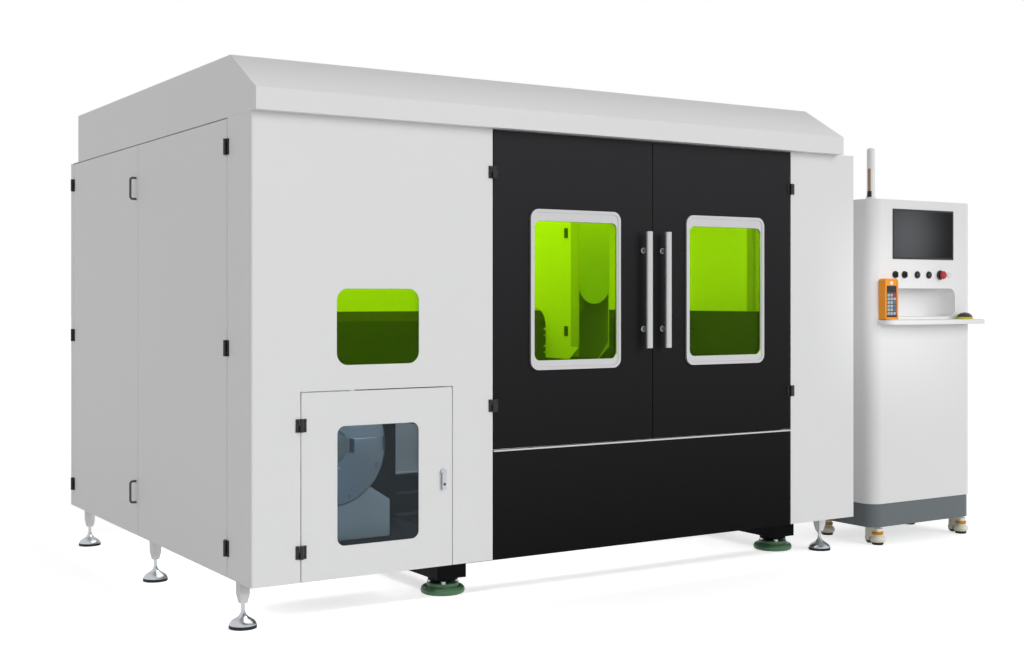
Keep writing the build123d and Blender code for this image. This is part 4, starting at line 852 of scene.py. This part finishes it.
# Carriage details: two cover hinges on its left face, and the copper nozzle under the cutting head
coverHinge = {"x": 1927, "y": 806, "heights": (1058, 1529), "width": 28, "tall": 47, "leaf": 4, "sunk": 0.5,
              "corner": 3, "ease": 0.8, "pinOut": 3, "pinEnd": 1}
knuckleProfile = [(0, 0), (3.4, 0), (4.2, 0.8), (4.2, 22), (3.6, 22.6), (3.6, 24.4), (4.2, 25), (4.2, 48.2),
                  (3.4, 49), (0, 49)]
hingeX, hingeY = coverHinge["x"], coverHinge["y"]
halfWidth, halfTall = coverHinge["width"] / 2, coverHinge["tall"] / 2
leaves = []
for z in coverHinge["heights"]:
    leaf = newBlock("leaf", (hingeX - coverHinge["leaf"], hingeY - halfWidth, z - halfTall),
                    (hingeX + coverHinge["sunk"], hingeY + halfWidth, z + halfTall))
    roundEdges(leaf, 0, coverHinge["corner"], 3)
    soften(leaf, coverHinge["ease"])
    pinPlace = (hingeX - coverHinge["pinOut"], hingeY, z - halfTall - coverHinge["pinEnd"])
    leaves += [leaf, turnPiece("knuckle", pinPlace, up, knuckleProfile, 20)]
finishPiece(joinAll("carriageHinges", leaves), blackHingeZinc, "carriage")
nozzle = {"tip": (2017, 900, 1040),
          "profile": [(0, 5), (1.8, 5), (1.8, -0.4), (6.4, -0.4), (7.4, 0.8), (12.6, 15), (13.2, 20),
                      (16, 21), (18.4, 24), (18.4, 33), (19.4, 34), (19.4, 40.4), (0, 40.4)]}
copperNozzle = turnPiece("copperNozzle", nozzle["tip"], up, nozzle["profile"])
finishPiece(copperNozzle, turnedCopper, "cutting_head")
print("carriage details done")


# Folded sheet and castings: a merged copy of each plain solid, with eased edges as bent or cast metal has.
# For each node: the body it rides on and the width of its eased edges
eased = {"hood": ("machine", 3), "front_left_panel": ("machine", 2), "front_right_panel": ("machine", 2),
         "front_lower_panel": ("machine", 2), "left_door": ("left_door", 2),
         "right_door": ("right_door", 2), "access_door": ("access_door", 1.5),
         "side_door_front": ("side_door_front", 2), "side_door_rear": ("side_door_rear", 2),
         "right_side_panel": ("machine", 2), "rear_panel": ("machine", 2),
         "console_cabinet": ("machine", 2), "console_skirt": ("machine", 2),
         "console_shelf": ("machine", 3), "carriage": ("carriage", 2), "chuck_pedestal": ("machine", 4),
         "chuck_plate": ("chuck", 1.2), "cutting_head": ("cutting_head", 2),
         "access_lever": ("access_lever", 1.5), "left_door_hinges": ("left_door", 0.6),
         "right_door_hinges": ("right_door", 0.6), "access_hinges": ("access_door", 0.6),
         "side_front_hinges": ("side_door_front", 0.6), "side_rear_hinges": ("side_door_rear", 0.6),
         "fixed_hinge_leaves": ("machine", 0.6)}
flatAngle = 0.3  # degrees between triangles of one flat face
for node, (body, width) in eased.items():
    words = node.split("_")
    name = words[0] + "".join(word.capitalize() for word in words[1:]) + "Eased"
    sheet = bpy.data.objects.new(name, nodes[node].data.copy())
    sheet.data.name = name
    bpy.context.collection.objects.link(sheet)
    takeUp(sheet)
    bpy.context.tool_settings.mesh_select_mode = (True, False, False)
    bpy.ops.object.mode_set(mode="EDIT")
    bpy.ops.mesh.select_all(action="SELECT")
    bpy.ops.mesh.remove_doubles(threshold=mergeGap)
    bpy.ops.mesh.dissolve_limited(angle_limit=radians(flatAngle))
    bpy.ops.object.mode_set(mode="OBJECT")
    soften(sheet, width, angle=40)
    shadePiece(sheet)
    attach(sheet, body)
    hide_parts(node)
print("edges eased on", len(eased), "pieces")


# Levelling feet: a spun plated bell that sweeps up into a thin stem
feet = {"xs": (42, 2988), "ys": (185, 1195, 2205), "smoothAngle": 50,
        "profile": [(0, 11), (50.5, 11), (51, 13), (50, 17), (47, 22), (42, 27), (35, 32), (27, 36.5),
                    (20, 41), (14.5, 46.5), (10.5, 53), (8.2, 60), (7.4, 66), (7.2, 92), (0, 92)]}
bellFoot = turnPiece("bellFoot", (0, 0, 0), up, feet["profile"], 48)
bellFeet = [copyTo(bellFoot, (x, y, 0)) for x in feet["xs"] for y in feet["ys"]]
discard(bellFoot)
bellFeet = joinAll("bellFeet", bellFeet)
finishPiece(bellFeet, zincPlate, "machine", ["levelling_feet"], feet["smoothAngle"])
print("feet done")


# Guide rails on the bed: ground steel with a running groove down each side
rails = {"xs": (970, 2813), "front": 310, "back": 2190, "base": 799.5, "top": 826, "half": 17, "groove": 8,
         "depth": 4, "ease": 1.2}
for side, x in zip(("left", "right"), rails["xs"]):
    rail = newBlock(f"{side}BedRail", (x - rails["half"], rails["front"], rails["base"]),
                    (x + rails["half"], rails["back"], rails["top"]))
    pickFaces(rail, lambda normal: abs(normal.x) > aligned)
    bpy.ops.mesh.inset(thickness=rails["groove"] / 1000, use_individual=True)
    bpy.ops.transform.resize(value=(1 - rails["depth"] / rails["half"], 1, 1),
                             center_override=at(x, rails["front"], rails["base"]))
    bpy.ops.object.mode_set(mode="OBJECT")
    soften(rail, rails["ease"])
    finishPiece(rail, groundSteel, "machine")
print("rails done")


# Panel screws on the back and the right side, where the cladding is fixed to the frame
cladding = {"pitch": 320, "inset": 24, "low": 200, "high": 1850}
backFace = (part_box("rear_panel")[1].y - originY) * 1000
rightFace = (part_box("right_side_panel")[1].x - originX) * 1000
backEnds = [(end.x - originX) * 1000 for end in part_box("rear_panel")]
sideEnds = [(end.y - originY) * 1000 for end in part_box("right_side_panel")]
panelScrew = [(0, 0.7), (2.6, 0.7), (2.6, 2.2), (4.2, 2.6), (5.8, 2), (6.4, 0.8), (6.4, -1), (0, -1)]
backScrew = turnPiece("backScrew", (0, backFace, 0), (0, 1, 0), panelScrew, 12)
flankScrew = turnPiece("flankScrew", (rightFace, 0, 0), (1, 0, 0), panelScrew, 12)


def edgeSteps(first, last):
    count = round((last - first) / cladding["pitch"])
    return [first + (last - first) * step / count for step in range(count + 1)]


# Places on the four edges of a grid
def gridEdge(across, heights):
    return [(place, z) for place in across for z in heights
            if place in (across[0], across[-1]) or z in (heights[0], heights[-1])]


heights = edgeSteps(cladding["low"], cladding["high"])
backXs = edgeSteps(backEnds[0] + cladding["inset"], backEnds[1] - cladding["inset"])
flankYs = edgeSteps(sideEnds[0] + 2 * cladding["inset"], sideEnds[1] - 2 * cladding["inset"])
screws = [copyTo(backScrew, (x, 0, z)) for x, z in gridEdge(backXs, heights)]
screws += [copyTo(flankScrew, (0, y, z)) for y, z in gridEdge(flankYs, heights)]
discard(backScrew, flankScrew)
finishPiece(joinAll("claddingScrews", screws), zincPlate, "machine")
print("cladding screws done")


# Levelling castors: a cream bell over a black foot pad, and an amber thumb wheel, copied to all four
castor = {"xs": (3325, 3939), "ys": (155, 495), "lead": 30, "back": 11, "bellEase": 1.5,
          "knurlGap": 1.2, "knurlHeight": 0.9}
bellProfile = [(0, 13), (29, 13), (34, 16), (37.5, 22), (38.4, 28), (36.5, 35), (31, 42), (26, 46), (0, 46)]
padProfile = [(0, 0.3), (25, 0.3), (28, 2), (29, 6), (28, 12.6), (0, 12.6)]
thumbProfile = [(0, 50), (24, 50), (26.5, 51.4), (27.6, 54), (27.6, 62), (26.5, 64.6), (24, 66), (0, 66)]
stemPlace = (0, -castor["lead"], 0)
bell = turnPiece("bell", stemPlace, up, bellProfile, 40)
halve(bell, (0, -castor["back"], 0), (0, 1, 0), False)
soften(bell, castor["bellEase"], angle=45)
footPad = turnPiece("footPad", stemPlace, up, padProfile, 36)
thumb = turnPiece("thumb", stemPlace, up, thumbProfile, 24)
pickFaces(thumb, lambda normal: abs(normal.z) < 1 - aligned)
bpy.ops.mesh.inset(thickness=castor["knurlGap"] / 1000, use_individual=True)
bpy.ops.mesh.extrude_region_shrink_fatten(
    TRANSFORM_OT_shrink_fatten={"value": castor["knurlHeight"] / 1000})
bpy.ops.object.mode_set(mode="OBJECT")
castorPlaces = [(x, y, 0) for y in castor["ys"] for x in castor["xs"]]
for name, part, paint, slot in (("castorBell", bell, creamNylon, "cream_plastic"),
                                ("castorPad", footPad, blackRubber, "black_rubber"),
                                ("castorThumbWheel", thumb, amberNylon, "orange_plastic")):
    for number, place in enumerate(castorPlaces, 1):
        copied = joinAll(f"{name}{number}", [copyTo(part, place)])
        finishPiece(copied, paint, f"castor_{number}")
    discard(part)
print("castors done")


# Carriage cover painted shade: a grey strip on the front of its left wall, where that face lies in shade,
# and a dark sheet inside its right wall, where the inside lies in shade
cover = {"left": 1927, "inner": 2103, "front": 700, "top": 1720, "clear": 0.2, "film": 0.05, "ease": 0.5,
         "strip": 66, "stripThickness": 1.6, "toe": 60, "linerThickness": 2.4, "linerFront": 704,
         "linerRear": 945, "linerHeight": 330, "linerToe": 84}
coverBase = round(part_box("carriage")[0].z * 1000)
shadeStrip = newBlock(
    "carriageEdgeStrip",
    (cover["left"] - cover["stripThickness"], cover["front"], coverBase + cover["toe"]),
    (cover["left"] - cover["film"], cover["front"] + cover["strip"], cover["top"]))
soften(shadeStrip, cover["ease"])
# Painted shade: the grey strip stands in for the shaded front band of the left wall
greyTrimPaint = powderCoat("greyTrimPaint", "#b4b7b8", "#aeb1b2", 0.5, 6, 0.1)
finishPiece(shadeStrip, greyTrimPaint, "carriage")
shadeLiner = newBlock(
    "carriageLiner",
    (cover["inner"] - cover["linerThickness"], cover["linerFront"], coverBase + cover["clear"]),
    (cover["inner"] - cover["film"], cover["linerRear"], coverBase + cover["linerHeight"]))
toeLimit = at(0, cover["linerFront"] + 1, coverBase + 1)
roundEdges(shadeLiner, 0, cover["linerToe"], 1, lambda middle: middle.y < toeLimit.y and middle.z < toeLimit.z)
soften(shadeLiner, cover["ease"])
# Painted shade: the dark sheet stands in for the shade inside the right wall
linerRubber = mouldedPlastic("linerRubber", "#7c8284", 0.7)
finishPiece(shadeLiner, linerRubber, "carriage")
print("carriage cover trimmed")


# Latch lever: a black key barrel set in the lower part of its arm
barrel = {"upShare": 0.26, "armShare": 0.5,
          "profile": [(0, 0.4), (1.4, 0.4), (1.6, 0.9), (4.2, 1.2), (5.2, 0.8), (5.5, 0),
                      (5.5, -3), (0, -3)]}
low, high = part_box("access_lever")
lever = nodes["access_lever"]
points = [lever.matrix_world @ vertex.co for vertex in lever.data.vertices]
arm = [point for point in points if point.z < low.z + (high.z - low.z) * barrel["armShare"]]
armMiddle = (min(point.x for point in arm) + max(point.x for point in arm)) / 2
armFront = min(point.y for point in arm)
barrelPlace = ((armMiddle - originX) * 1000, (armFront - originY) * 1000,
               (low.z + (high.z - low.z) * barrel["upShare"]) * 1000)
keyBarrel = turnPiece("leverKeyBarrel", barrelPlace, outward, barrel["profile"], 24)
finishPiece(keyBarrel, blackPlastic, "access_lever")
print("latch barrel done at", [round(part) for part in barrelPlace])


def addLamp(name, power, width, depth, place):
    light = bpy.data.lights.new(name, "AREA")
    light.shape = "RECTANGLE"
    light.size, light.size_y = width, depth
    light.energy = power
    lamp = bpy.data.objects.new(name, light)
    lamp.location = place
    bpy.context.collection.objects.link(lamp)
    return lamp


# Interior lamps: the real machine's own light, which makes the tinted windows glow
chamber = {"power": 45, "inset": 0.25, "drop": 0.06,
           "bayPower": 2.5, "bayWidth": 0.5, "bayDepth": 0.06, "bayPlace": (460, 200, 850)}
low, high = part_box("enclosure_frame")
roofPlace = ((low.x + high.x) / 2, (low.y + high.y) / 2, high.z - chamber["drop"])
addLamp("chamberLamp", chamber["power"], high.x - low.x - 2 * chamber["inset"],
        high.y - low.y - 2 * chamber["inset"], roofPlace)
addLamp("chuckBayLamp", chamber["bayPower"], chamber["bayWidth"], chamber["bayDepth"],
        at(*chamber["bayPlace"]))
print("chamber lit")

# Soft fill from the left on the console, as a reflector beside it would give
fill = {"place": (2700, -1100, 1350), "aim": (3600, 340, 1150), "size": 0.6, "spread": 36, "power": 0.4}
fillPlace, fillAim = at(*fill["place"]), at(*fill["aim"])
fillLamp = addLamp("consoleFill", fill["power"], fill["size"], fill["size"], fillPlace)
fillLamp.data.spread = radians(fill["spread"])
fillLamp.rotation_euler = (fillAim - fillPlace).to_track_quat("-Z", "Y").to_euler()
print("console fill set")
